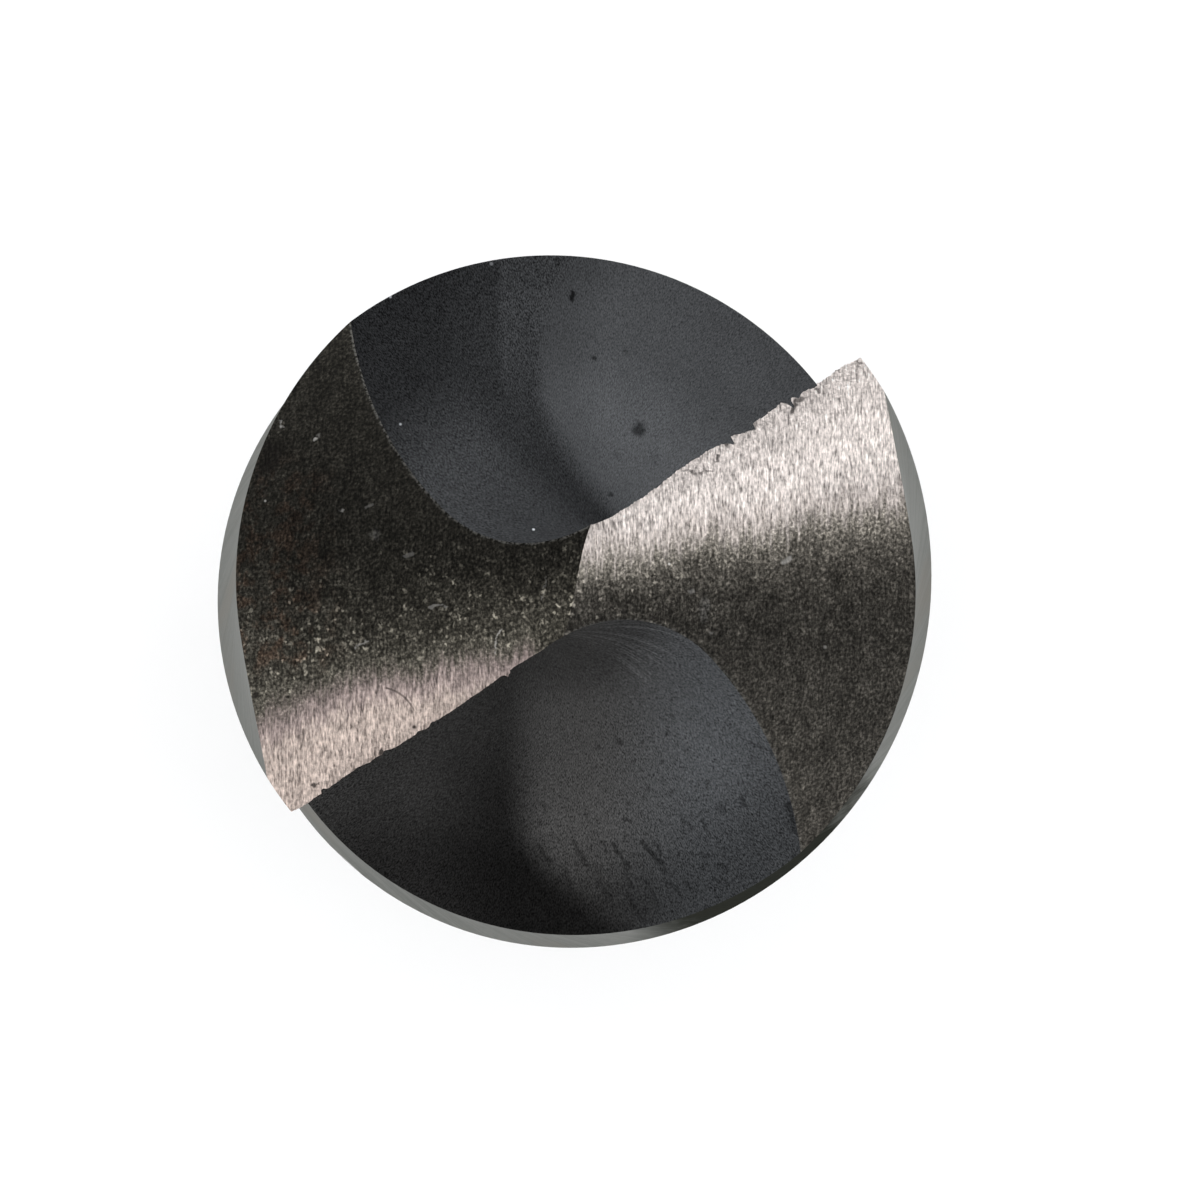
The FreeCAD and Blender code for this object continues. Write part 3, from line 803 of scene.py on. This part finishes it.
def ground_flank(name, side):
    """Wheel-ground steel: straight grinding lines along UP, with a painted highlight along the lip, painted shade
    behind it and lighter specks in the shade.
    """
    m = Nodes(name)
    q = m.coords(TURN_IN_VIEW)
    x, y, z = m.split(q)
    flat = m.join(x, y, 0.0)
    ragged_flat = m.warp(flat, 5.0, 0.30)
    fine = m.noise(m.mapping(q, scale=(12.0, 2.3, 0.6)), 1.0, 2.0, 0.5)
    hair = m.noise(m.mapping(q, loc=(3.1, 1.7, 0.0), scale=(19.0, 4.5, 1.0)), 1.0, 1.0, 0.5)
    long_ = m.noise(m.mapping(q, loc=(1.3, 5.7, 0.0), scale=(7.5, 0.8, 0.3)), 1.0, 2.0, 0.5)
    broad = m.noise(m.mapping(q, loc=(7.7, 0.4, 0.0), scale=(1.2, 0.22, 0.1)), 1.0, 2.0, 0.5)
    grain = m.noise(q, 9.0, 2.0, 0.6)
    cloud = m.noise(q, 0.6, 3.0, 0.6)
    if side > 0:
        edge = m.math("SUBTRACT", y, m.math("MULTIPLY_ADD", x, 0.19, 0.43))
    else:
        bow = m.math("ADD", x, 6.0)
        edge = m.math("SUBTRACT", m.math("MULTIPLY_ADD", m.product(bow, bow), -0.020, m.math("MULTIPLY_ADD", x, 0.205, -1.74)), y)
    wide = 1.0 if side > 0 else 0.6
    wob = m.math("ADD", m.over(long_, -wide, wide), m.math("ADD", m.over(broad, -0.6, 0.6), m.over(fine, -0.5 * wide, 0.5 * wide)))
    ragged = m.math("ADD", edge, wob)
    pos = m.math("MULTIPLY_ADD", ragged, 0.125, 0.5, clamp=True)
    # shade: the painted highlight along the lip and the painted shade behind it
    shade = m.ramp(pos, [((t + 4.0) / 8.0, (v, v, v)) for t, v in PAINTED_SHEEN_AND_SHADE[side]])
    painted_sheen = m.smooth(ragged, -0.5, 0.9)
    # grinding lines in the painted highlight, uneven grain in the painted shade
    lines = m.math("ADD", m.over(fine, 0.0, 2.0), m.math("ADD", m.over(hair, -0.9, 0.9), m.over(grain, -0.45, 0.45)))
    lines = m.math("MAXIMUM", lines, 0.3)
    mottle = m.math("POWER", 330.0 if side > 0 else 600.0, m.math("SUBTRACT", m.math("MULTIPLY_ADD", grain, 0.82, m.math("MULTIPLY", fine, 0.18)), 0.505))
    lines = m.math("ADD", mottle, m.product(painted_sheen, m.math("SUBTRACT", lines, mottle)))
    # lighter specks of dirt in the painted shade, thickest near the painted highlight
    near = m.smooth(edge, -5.2 if side < 0 else -4.4, -1.6)
    patch = m.smooth(cloud, 0.38, 0.62)
    s1, b1 = m.spots(m.mapping(m.warp(q, 7.0, 0.34), scale=(4.2, 3.6, 0.1)), 0.42, 0.12, 0.42)
    s2, b2 = m.spots(m.mapping(m.warp(q, 12.0, 0.18), loc=(3, 8, 1), scale=(7.5, 6.5, 0.1)), 0.36, 0.18, 0.46)
    if side > 0:
        thick = m.math("MULTIPLY_ADD", m.product(near, m.smooth(x, 6.5, 2.2)), 0.9, m.product(m.smooth(edge, -12.0, -3.0), m.over(patch, 0.4, 1.0), 0.50))
    else:
        thick = m.math("ADD", m.product(near, m.over(patch, 0.55, 1.0)), m.product(m.smooth(edge, -8.5, -3.0), patch, 0.25))
    painted_shade_zone = m.math("SUBTRACT", 1.0, m.smooth(ragged, -0.9, 0.3))
    b1, b2 = m.product(b1, b1), m.product(b2, b2)
    specks = m.product(m.math("ADD", m.product(s1, m.over(b1, 0.10, 1.0)), m.product(s2, m.over(b2, 0.08, 0.8))), thick, painted_shade_zone)
    value = m.math("MULTIPLY_ADD", specks, 0.42 if side > 0 else 0.38, m.math("MULTIPLY", shade, lines))
    blotch = m.noise(m.mapping(q, loc=(4.0, 2.0, 0.0), scale=(2.6, 1.5, 1.0)), 1.0, 3.0, 0.6)
    value = m.product(value, m.over(patch, 0.94, 1.06), m.math("MULTIPLY_ADD", m.product(m.math("SUBTRACT", blotch, 0.5), painted_shade_zone), 1.7, 1.0))
    if side > 0:
        value = m.math("MULTIPLY", value, m.smooth(y, -1.4, -3.6, 1.0, 1.30))
    else:
        side_tone = m.mix(painted_sheen, m.grey(m.smooth(x, -8.6, -11.0, 1.0, 1.15)), m.grey(m.smooth(x, -7.6, -11.0, 1.0, 0.96)))
        value = m.math("MULTIPLY", value, m.split(side_tone)[0])
        # lighter towards the far left of the painted shade
        lighter_far_left = m.product(m.smooth(x, -9.7, -11.4), m.smooth(y, 1.2, -0.4), painted_shade_zone)
        value = m.math("MULTIPLY", value, m.math("MULTIPLY_ADD", lighter_far_left, 0.35, 1.0))
    middle = m.product(painted_sheen, m.math("SUBTRACT", 1.0, m.smooth(ragged, 0.4, 1.5)))
    if side > 0:
        warm = m.mix(painted_sheen, (1.09, 1.0, 0.86), (1.085, 0.985, 0.935))
        warm = m.mix(m.math("MULTIPLY", middle, 0.5), warm, (1.11, 0.97, 0.90))
    else:
        rust = m.product(m.smooth(x, -7.6, -10.2), m.smooth(m.noise(q, 1.4, 3.0, 0.65), 0.44, 0.62), m.smooth(y, 5.0, 3.4), m.smooth(y, -3.4, -2.4))
        warm = m.mix(m.math("MULTIPLY", rust, 0.60), (1.08, 1.0, 0.82), (1.55, 0.96, 0.66))
        warm = m.mix(painted_sheen, warm, (1.19, 0.985, 0.88))
        warm = m.mix(m.math("MULTIPLY", middle, 0.7), warm, (1.20, 0.95, 0.93))
    colour = m.vmath("MULTIPLY", warm, m.grey(value))
    # single marks
    if side < 0:
        black = [m.dot(flat, (-11.16, -3.84), 0.07, 0.14), m.dot(flat, (-10.03, -3.92), 0.03, 0.08),
                 m.product(m.arc(flat, (-6.90, -5.00), 1.39, 20, 82, 0.05), m.over(fine, 0.2, 1.2)), m.product(m.arc(flat, (-10.6, -5.25), 1.11, -30, 14, 0.06), 0.6),
                 m.product(m.stroke(m.warp(flat, 1.5, 0.5), (-10.60, 4.75), (-10.78, 4.15), 0.5), 0.7),
                 m.dot(ragged_flat, (-6.76, -5.84), 0.07, 0.15), m.product(m.dot(ragged_flat, (-6.95, -5.74), 0.03, 0.10), 0.7), m.dot(ragged_flat, (-9.14, -7.00), 0.06, 0.15),
                 m.product(m.stroke(ragged_flat, (-9.14, -7.00), (-8.94, -6.94), 0.07), 0.8), m.dot(flat, (-5.63, -5.00), 0.03, 0.09),
                 m.product(m.dot(ragged_flat, (-7.90, -6.05), 0.03, 0.12), 0.6), m.product(m.dot(ragged_flat, (-9.51, -5.42), 0.03, 0.10), 0.4)]
        pale = [m.dot(ragged_flat, (-10.28, 5.60), 0.02, 0.09), m.product(m.stroke(ragged_flat, (-10.30, 5.60), (-10.34, 5.78), 0.07), 0.6), m.dot(ragged_flat, (-9.10, 5.12), 0.03, 0.10),
                m.product(m.dot(ragged_flat, (-8.97, 5.22), 0.02, 0.13), 0.3), m.dot(flat, (-10.86, 2.96), 0.02, 0.06),
                m.product(m.dot(ragged_flat, (-8.15, 2.56), 0.02, 0.09), 0.7), m.product(m.stroke(ragged_flat, (-2.62, -1.66), (-2.80, -2.02), 0.06), 0.42),
                m.product(m.stroke(ragged_flat, (-2.80, -2.02), (-2.82, -2.48), 0.06), 0.38), m.product(m.stroke(ragged_flat, (-7.72, -2.26), (-7.22, -1.96), 0.06), 0.30),
                m.product(m.stroke(ragged_flat, (-5.07, -0.86), (-4.74, -0.76), 0.07), 0.30), m.product(m.stroke(ragged_flat, (-4.74, -0.76), (-4.40, -0.90), 0.06), 0.28),
                m.product(m.stroke(ragged_flat, (-1.23, -0.73), (-1.06, 0.15), 0.05), 0.16), m.product(m.dot(m.warp(flat, 4.0, 0.3), (-7.0, 1.72), 0.03, 0.28), m.over(grain, -0.6, 1.4), 0.35),
                m.product(m.stroke(m.warp(flat, 5.0, 0.2), (-5.95, 0.92), (-5.7, 1.02), 0.10), 0.25),
                m.product(m.stroke(m.warp(flat, 5.0, 0.2), (-7.35, 2.66), (-7.1, 2.74), 0.07), 0.25)]
    else:
        # dark chips along lip 1; the four strokes along y 3.78 to 3.88 mm, x 3.60 to 4.76 mm, are a painted shadow line
        # under lighter chips
        black = [m.product(m.stroke(m.warp(flat, 4.0, 0.14), (7.50, 5.98), (7.62, 6.22), 0.12), 0.9), m.product(m.stroke(m.warp(flat, 4.0, 0.14), (7.62, 6.35), (7.85, 6.42), 0.13), 0.85),
                 m.product(m.dot(ragged_flat, (5.20, 4.82), 0.05, 0.14), 0.8), m.product(m.stroke(ragged_flat, (4.86, 4.20), (4.93, 4.38), 0.10), 0.8),
                 m.product(m.stroke(ragged_flat, (5.90, 5.22), (6.16, 5.40), 0.08), 0.7), m.product(m.stroke(ragged_flat, (8.38, 6.80), (8.46, 6.70), 0.09), 0.8),
                 m.product(m.stroke(ragged_flat, (9.80, 7.82), (9.98, 7.74), 0.06), 0.7), m.product(m.stroke(ragged_flat, (3.60, 3.87), (3.84, 3.88), 0.08), 0.5),
                 m.product(m.stroke(ragged_flat, (3.95, 3.80), (4.10, 3.78), 0.12), 0.8), m.product(m.stroke(ragged_flat, (4.28, 3.79), (4.40, 3.86), 0.11), 0.8),
                 m.product(m.stroke(ragged_flat, (4.40, 3.84), (4.76, 3.87), 0.07), 0.5), m.product(m.stroke(flat, (5.36, 5.12), (5.95, 5.29), 0.06), 0.5)]
        pale = [m.product(m.stroke(m.warp(flat, 3.0, 0.3), (4.42, -1.15), (4.46, -0.68), 0.24), m.over(grain, -0.8, 1.6), 0.35), m.product(m.dot(ragged_flat, (3.98, -0.33), 0.04, 0.14), 0.35),
                m.product(m.dot(ragged_flat, (4.70, -1.75), 0.03, 0.12), 0.35), m.product(m.stroke(m.warp(flat, 4.0, 0.2), (7.20, 0.76), (7.44, 0.90), 0.12), 0.45),
                m.product(m.dot(flat, (8.68, -2.18), 0.02, 0.09), 0.6), m.dot(flat, (3.2, 0.62), 0.02, 0.06)]
    # a thin painted highlight along the heel edge, where its slightly rubbed bevel would catch light
    line = heel_line(side, 13)
    edge_wear_glint = m.most([m.stroke(flat, a, b, 0.115) for a, b in zip(line[:-1], line[1:])])
    edge_wear_glint = m.product(edge_wear_glint, m.smooth(grain, 0.42, 0.58), 0.80 if side < 0 else 0.40)
    colour = m.mix(m.math("MULTIPLY", m.most(black), 0.88), colour, (0.014, 0.012, 0.011))
    colour = m.mix(edge_wear_glint, colour, (0.22, 0.215, 0.20))
    colour = m.mix(m.math("MULTIPLY", m.most(pale), 0.9), colour, (0.62, 0.60, 0.57))
    m.set("Base Color", colour)
    m.set("Metallic", 1.0)
    m.set("Roughness", m.math("MULTIPLY_ADD", grain, 0.14, m.math("MULTIPLY_ADD", painted_sheen, -0.05, 0.32)))
    m.bsdf.inputs["Anisotropic"].default_value = 0.80
    m.set("Tangent", m.join(float(RIGHT[0]), float(RIGHT[1]), 0.0))
    relief = m.math("MULTIPLY_ADD", fine, 0.7, m.math("MULTIPLY", hair, 0.35))
    n1 = m.bump(relief, 0.000016)
    m.set("Normal", m.bump(grain, 0.000010, 1.0, n1))
    return m.mat


# soft spots in the oxide: photograph right and up in mm, inner and outer radius, strength
SPOTS = {
    1: [(2.41, 6.20, 0.10, 0.30, 0.70), (2.47, 6.36, 0.06, 0.22, 0.62), (0.74, 8.60, 0.03, 0.13, 0.75), (0.50, 9.00, 0.02, 0.08, 0.5), (1.93, 9.00, 0.03, 0.13, 0.3),
        (1.33, 3.83, 0.04, 0.14, 0.55), (1.62, 5.24, 0.06, 0.20, 0.2), (2.99, 5.20, 0.06, 0.22, 0.2)],
    -1: [(1.63, -5.31, 0.04, 0.15, 0.5), (2.43, -5.37, 0.03, 0.10, 0.5), (2.37, -5.04, 0.03, 0.09, 0.35), (3.23, -5.13, 0.04, 0.13, 0.5), (3.39, -4.51, 0.03, 0.12, 0.5),
         (3.07, -6.11, 0.04, 0.13, 0.5), (3.08, -6.75, 0.03, 0.11, 0.35), (2.62, -7.03, 0.04, 0.14, 0.35), (3.43, -7.16, 0.04, 0.13, 0.40), (0.88, -5.45, 0.03, 0.11, 0.5),
         (-0.47, -7.25, 0.03, 0.10, 0.45), (2.10, -6.04, 0.03, 0.09, 0.45)],
}
STROKES = {
    1: [((-0.06, 10.70), (-0.02, 10.90), 0.15, 0.8), ((-1.38, 8.38), (-1.35, 8.62), 0.10, 0.25)],
    -1: [((-1.25, -8.98), (-0.89, -9.58), 0.12, 0.40), ((0.0, -8.87), (0.47, -9.71), 0.13, 0.42), ((1.00, -8.89), (1.17, -9.24), 0.10, 0.35),
         ((1.41, -8.95), (1.94, -9.79), 0.14, 0.50), ((2.40, -8.85), (3.10, -9.68), 0.13, 0.52), ((2.75, -8.85), (3.27, -9.50), 0.09, 0.35),
         ((0.41, -7.81), (0.53, -8.11), 0.09, 0.28), ((-1.13, -7.42), (-1.07, -7.60), 0.09, 0.35), ((1.81, -8.07), (1.99, -8.19), 0.11, 0.45),
         ((3.78, -8.04), (4.13, -8.46), 0.12, 0.38), ((4.47, -8.23), (4.70, -8.46), 0.12, 0.38), ((5.14, -7.54), (5.26, -7.89), 0.10, 0.38),
         ((5.83, -7.43), (5.94, -7.67), 0.12, 0.50), ((5.17, -9.69), (5.35, -9.93), 0.10, 0.38), ((3.91, -10.33), (4.14, -10.57), 0.12, 0.38),
         ((3.33, -10.33), (3.80, -10.80), 0.10, 0.35), ((1.70, -9.72), (2.05, -10.44), 0.12, 0.25), ((2.52, -10.32), (2.99, -11.15), 0.12, 0.25),
         ((0.76, -9.72), (1.24, -10.91), 0.14, 0.22), ((-0.42, -9.71), (0.06, -10.90), 0.16, 0.22), ((6.12, -5.49), (6.92, -5.91), 0.07, 0.50),
         ((7.42, -7.57), (7.72, -8.61), 0.12, 0.45), ((-1.85, -9.21), (-1.61, -9.94), 0.14, 0.25), ((1.94, -10.91), (2.41, -11.62), 0.12, 0.25),
         ((4.48, -9.28), (4.71, -9.75), 0.10, 0.25)],
}
BRIGHT_SPOTS = {1: [(-2.96, 11.73, 0.03, 0.10, 0.12), (-6.13, 5.64, 0.02, 0.07, 0.35), (-1.48, 1.96, 0.03, 0.07, 0.8), (-6.52, 10.29, 0.02, 0.07, 0.3)], -1: []}


def black_oxide(name, side):
    """Fluted surfaces: matt blue-black oxide over milled metal, with painted light and shade in soft bands across each
    flute, a little random unevenness, and the cutter's marks across the flute.
    """
    m = Nodes(name)
    p = m.coords(TURN_IN_VIEW)
    x, y, z = m.split(p)
    flat = m.join(x, y, 0.0)
    r = m.vmath("LENGTH", flat)
    deep = m.math("SUBTRACT", LENGTH, z)
    grain = m.noise(p, 12.0, 1.0, 0.5)
    cloud = m.noise(p, 0.25, 3.0, 0.55)
    uneven = m.warp(flat, 3.5, 0.34)

    def bend(start, at, k, way):
        """x of a curve that is upright up to y = at and then bends to the right."""
        d = m.math("MAXIMUM", m.math("MULTIPLY_ADD", y, -way, way * at), 0.0)
        return m.math("MULTIPLY_ADD", m.math("MULTIPLY", d, d), k, start)

    # painted light and shade: soft lighter and darker bands across each flute, bounded by the curves x1 and x2 on flute
    # 1 and x3 on flute 2, and on flute 2 a tint that changes with x
    if side > 0:
        x1, x2 = bend(-2.62, 8.6, 0.115, 1), bend(-1.30, 8.0, 0.115, 1)
        rise = m.math("MAXIMUM", m.math("SUBTRACT", y, 8.8), 0.0)
        x2 = m.math("MULTIPLY_ADD", m.product(rise, rise), 0.11, x2)
        s1 = m.smooth(m.math("SUBTRACT", x, x1), -0.26, 0.18)
        s2 = m.smooth(m.math("DIVIDE", m.math("SUBTRACT", x, x2), m.smooth(r, 8.0, 4.0, 1.0, 2.0)), -0.35, 0.45)
        close = m.smooth(m.math("SUBTRACT", x1, x), 2.6, 0.3)
        inner = m.smooth(r, 9.7, 5.3)
        left = m.math("ADD", m.product(m.over(close, 0.0185, 0.0255), m.math("SUBTRACT", 1.0, inner)), m.product(m.over(close, 0.056, 0.033), inner))
        mid = m.over(m.smooth(r, 9.5, 5.0), 0.038, 0.032)
        right = m.product(m.math("MULTIPLY_ADD", m.smooth(deep, 25.0, 31.5), 0.012, 0.079), m.smooth(r, 6.2, 9.8, 1.36, 0.80), m.smooth(m.math("SUBTRACT", x, x2), 0.2, 2.7, 0.76, 1.0))
        value = m.math("ADD", m.product(left, m.math("SUBTRACT", 1.0, s1)), m.product(mid, s1))
        value = m.math("ADD", m.product(value, m.math("SUBTRACT", 1.0, s2)), m.product(right, s2))
        value = m.product(value, m.smooth(r, 10.0, 12.0, 1.0, 0.82))
        tint = (0.965, 1.0, 1.055)
        rub = m.over(s2, 4.2, 2.1)
    else:
        x3 = bend(-1.75, -7.6, 0.17, 1)
        s3 = m.smooth(m.math("SUBTRACT", x, x3), -0.95, 1.00)
        left = m.math("SUBTRACT", m.over(m.smooth(r, 8.0, 5.0), 0.0140, 0.029), m.smooth(r, 8.0, 10.5, 0.0, 0.0065))
        left = m.math("ADD", left, m.product(m.smooth(x, -2.0, -6.3, 0.0, 0.024), m.smooth(y, -9.8, -6.7, 0.35, 1.0)))
        fall = m.product(m.smooth(r, 8.0, 11.6), m.over(m.smooth(x, 5.0, 1.0), 0.45, 0.70))
        right = m.product(m.math("SUBTRACT", 1.0, fall), m.math("ADD", m.over(m.smooth(r, 4.4, 2.6), 0.066, 0.040), m.product(m.dot(flat, (4.2, -5.2), 0.0, 3.2), 0.014)))
        value = m.math("ADD", m.product(left, m.math("SUBTRACT", 1.0, s3)), m.product(right, s3))
        tint = m.mix(m.smooth(x, 0.0, 5.0), (1.02, 1.0, 0.985), (0.955, 1.0, 1.06))
    if side < 0:
        rub = 3.4
    hatch = m.noise(m.mapping(p, scale=(0.8, 0.8, 4.0)), 1.0, 3.0, 0.6)
    # deeper than 46 to 58 mm the painted light and shade give way to an even 0.042
    value = m.split(m.mix(m.smooth(deep, 46.0, 58.0), m.grey(value), (0.042, 0.042, 0.042)))[0]
    value = m.product(value, m.math("MAXIMUM", m.math("MULTIPLY_ADD", m.math("SUBTRACT", grain, 0.5), rub, 1.0), 0.2), m.over(cloud, 0.90, 1.10), m.over(hatch, 0.95 if side > 0 else 0.86, 1.05 if side > 0 else 1.14))
    dark = []
    if side < 0:
        marks = m.noise(m.mapping(m.warp(p, 2.0, 0.3), scale=(2.4, 2.4, 1.2)), 1.0, 2.0, 0.5)
        zone = m.product(m.smooth(r, 7.2, 8.4), m.smooth(deep, 34.0, 29.0), m.smooth(deep, 11.0, 15.0))
        dark.append(m.product(m.smooth(marks, 0.42, 0.30), zone, 0.30))
        dot, chance = m.spots(m.mapping(m.warp(flat, 3.0, 0.2), scale=(2.6, 2.6, 1.0)), 0.22, 0.05, 0.26)
        dark.append(m.product(dot, m.over(chance, 0.2, 0.6), m.smooth(r, 4.0, 5.2), m.smooth(r, 8.8, 7.4), m.smooth(deep, 27.0, 22.0)))
        fan = m.noise(m.mapping(p, scale=(0.30, 0.30, 5.5)), 1.0, 2.0, 0.6)
        value = m.product(value, m.math("MULTIPLY_ADD", m.product(m.smooth(fan, 0.50, 0.68), m.smooth(r, 4.8, 3.2), m.smooth(deep, 17.0, 11.0)), 0.9, 1.0))
    for cx, cy, a, b, k in SPOTS[side]:
        dark.append(m.product(m.dot(uneven, (cx, cy), a * 0.6, b * 1.25), k))
    for a, b, w, k in STROKES[side]:
        dark.append(m.product(m.stroke(uneven, a, b, w), k))
    value = m.product(value, m.math("SUBTRACT", 1.0, m.most(dark)))
    for cx, cy, a, b, k in BRIGHT_SPOTS[side]:
        value = m.math("MAXIMUM", value, m.product(m.dot(flat, (cx, cy), a, b), k))
    m.set("Base Color", m.vmath("MULTIPLY", m.grey(m.math("MULTIPLY", value, 1.12)), tint))
    m.set("Metallic", 0.0)
    m.set("Roughness", m.math("MULTIPLY_ADD", grain, 0.18, 0.42))
    m.bsdf.inputs["Specular IOR Level"].default_value = 0.0
    n1 = m.bump(hatch, 0.000015)
    m.set("Normal", m.bump(grain, 0.000010, 1.0, n1))
    return m.mat


def ground_outside(name, base, dark, lines_per_mm, tint, rough=0.20, rim=1.0, with_dark_patch=False):
    """Cylindrically ground steel: fine lines round the axis, with light handling marks."""
    m = Nodes(name)
    p = m.coords()
    lines = m.noise(m.mapping(p, scale=(0.06, 0.06, lines_per_mm)), 1.0, 4.0, 0.6)
    grain = m.noise(p, 5.0, 3.0, 0.65)
    cloud = m.noise(p, 0.16, 4.0, 0.6)
    scuff = m.noise(m.mapping(p, rot=(0.5, 0.3, 0.2), scale=(2.6, 0.25, 2.6)), 1.0, 3.0, 0.6)
    tone = m.math("MULTIPLY_ADD", lines, 0.6, m.math("MULTIPLY", grain, 0.4))
    colour = m.ramp(tone, [(0.36, dark), (0.62, base)])
    colour = m.mix(m.smooth(cloud, 0.50, 0.72, 0.0, 0.6), colour, tint)
    colour = m.mix(m.smooth(scuff, 0.70, 0.80, 0.0, 0.4), colour, tuple(min(1.0, 1.5 * v) for v in base))
    # a dark patch without reflection on one side of land 1, roughly 21 to 56 mm below the point
    if with_dark_patch:
        v = m.coords(TURN_IN_VIEW)
        x, y, z = m.split(v)
        r = m.vmath("LENGTH", m.join(x, y, 0.0))
        aim = m.math("DIVIDE", m.math("MULTIPLY_ADD", x, 0.559, m.math("MULTIPLY", y, -0.829)), r)
        deep = m.math("SUBTRACT", LENGTH, z)
        ragged = m.math("SUBTRACT", m.noise(p, 0.30, 5.0, 0.65), 0.5)
        aim = m.math("MULTIPLY_ADD", ragged, 0.16, aim)
        deep = m.math("MULTIPLY_ADD", ragged, 26.0, deep)
        dark_patch = m.product(m.smooth(aim, 0.89, 0.965), m.smooth(deep, 56.0, 43.0), m.smooth(deep, 21.0, 33.0))
        colour = m.mix(m.math("MULTIPLY", dark_patch, 0.88), colour, (0.012, 0.013, 0.009))
    m.set("Base Color", colour)
    m.set("Metallic", 1.0 if not with_dark_patch else m.math("SUBTRACT", 1.0, dark_patch))
    m.set("Roughness", m.math("MULTIPLY_ADD", cloud, 0.22, m.math("MULTIPLY_ADD", grain, 0.10, rough)))
    m.bsdf.inputs["Specular Tint"].default_value = (rim, rim, rim, 1.0)
    if with_dark_patch:
        m.bsdf.inputs["Specular IOR Level"].default_value = 0.0
    n1 = m.bump(lines, 0.000006)
    m.set("Normal", m.bump(scuff, 0.000006, 1.0, n1))
    return m.mat


for mat in (ground_flank("ground_flank_1", 1), ground_flank("ground_flank_2", -1), black_oxide("black_oxide_1", 1),
            ground_outside("ground_margin", (0.50, 0.50, 0.49), (0.30, 0.305, 0.30), 7.0, (0.36, 0.35, 0.32)),
            ground_outside("turned_shank", (0.50, 0.50, 0.50), (0.32, 0.32, 0.325), 9.0, (0.36, 0.35, 0.33)),
            ground_outside("cleared_land", (0.20, 0.205, 0.19), (0.12, 0.125, 0.115), 7.0, (0.20, 0.185, 0.16), 0.34, 0.66, True),
            black_oxide("black_oxide_2", -1)):
    mesh.materials.append(mat)

# ------------------------------------------------------------------ floor, lights, camera
floor_mesh = bpy.data.meshes.new("floor")
# flat where the drill stands, and rising gently far away like a studio's sweep, so that low views end on it
n = 96
SWEEP = [(2.0, 0.0), (2.5, 0.008), (3.0, 0.030), (3.5, 0.075), (4.0, 0.145), (4.5, 0.235), (5.0, 0.34)]
rings = [(R * math.cos(2 * math.pi * i / n), R * math.sin(2 * math.pi * i / n), h) for R, h in SWEEP for i in range(n)]
faces = [tuple(range(n))]
for k in range(len(SWEEP) - 1):
    faces += [(k * n + i, (k + 1) * n + i, (k + 1) * n + (i + 1) % n, k * n + (i + 1) % n) for i in range(n)]
floor_mesh.from_pydata(rings, [], faces)
floor_mesh.polygons.foreach_set("use_smooth", [True] * len(faces))
floor = bpy.data.objects.new("floor", floor_mesh)
bpy.context.scene.collection.objects.link(floor)
pale = Nodes("pale_floor")
pale.set("Base Color", (0.85, 0.85, 0.85, 1.0))
pale.set("Roughness", 0.9)
pale.bsdf.inputs["Specular IOR Level"].default_value = 0.1
floor_mesh.materials.append(pale.mat)

world = bpy.data.worlds.new("studio")
bpy.context.scene.world = world
world.use_nodes = True
world.node_tree.nodes["Background"].inputs[0].default_value = (0.9, 0.95, 1.0, 1.0)
world.node_tree.nodes["Background"].inputs[1].default_value = 0.10

sun = bpy.data.lights.new("overhead", "SUN")
sun.energy = 4.15
sun.angle = math.radians(45)
sun_ob = bpy.data.objects.new("overhead", sun)
bpy.context.scene.collection.objects.link(sun_ob)

TIP = Vector((0, 0, LENGTH * MM))


def soft_box(name, azimuth, elevation, distance, wide, high, radiance, colour=(1, 1, 1)):
    """Area light aimed at the point. Azimuth is from the photograph's right, towards its up."""
    a, e = math.radians(azimuth), math.radians(elevation)
    d = Vector(tuple(RIGHT)) * (math.cos(a) * math.cos(e)) + Vector(tuple(UP)) * (math.sin(a) * math.cos(e)) + Vector((0, 0, math.sin(e)))
    light = bpy.data.lights.new(name, "AREA")
    light.shape = "RECTANGLE"
    light.size, light.size_y = wide, high
    light.energy = radiance * math.pi * wide * high
    light.color = colour
    ob = bpy.data.objects.new(name, light)
    bpy.context.scene.collection.objects.link(ob)
    ob.location = TIP + d * distance
    ob.rotation_mode = "QUATERNION"
    ob.rotation_quaternion = d.to_track_quat("Z", "Y")
    ob.visible_camera = False
    return ob


soft_box("right_box", 8, 22, 0.6, 0.28, 0.22, 1.5)
soft_box("left_box", 192, 22, 0.6, 0.22, 0.22, 1.3)

cam_data = bpy.data.cameras.new("camera")
cam_data.sensor_width = 36.0
cam_data.lens = 512.5
cam_data.clip_start, cam_data.clip_end = 0.01, 100.0
cam = bpy.data.objects.new("camera", cam_data)
bpy.context.scene.collection.objects.link(cam)
tip = np.array([0, 0, LENGTH])
eye = tip + 588.3 * (-0.00431 * RIGHT - 0.02066 * UP + np.array([0, 0, 1.0]))
aim = tip + 0.7955 * RIGHT - 0.675 * UP
look = Vector(tuple(aim - eye)).normalized()
right = look.cross(Vector(tuple(UP))).normalized()
up = right.cross(look).normalized()
rot = Matrix((right, up, -look)).transposed()
cam.location = Vector(tuple(eye * MM))
cam.rotation_mode = "QUATERNION"
cam.rotation_quaternion = rot.to_quaternion()
bpy.context.scene.camera = cam
bpy.context.scene.view_settings.view_transform = "Standard"

bpy.context.view_layer.update()
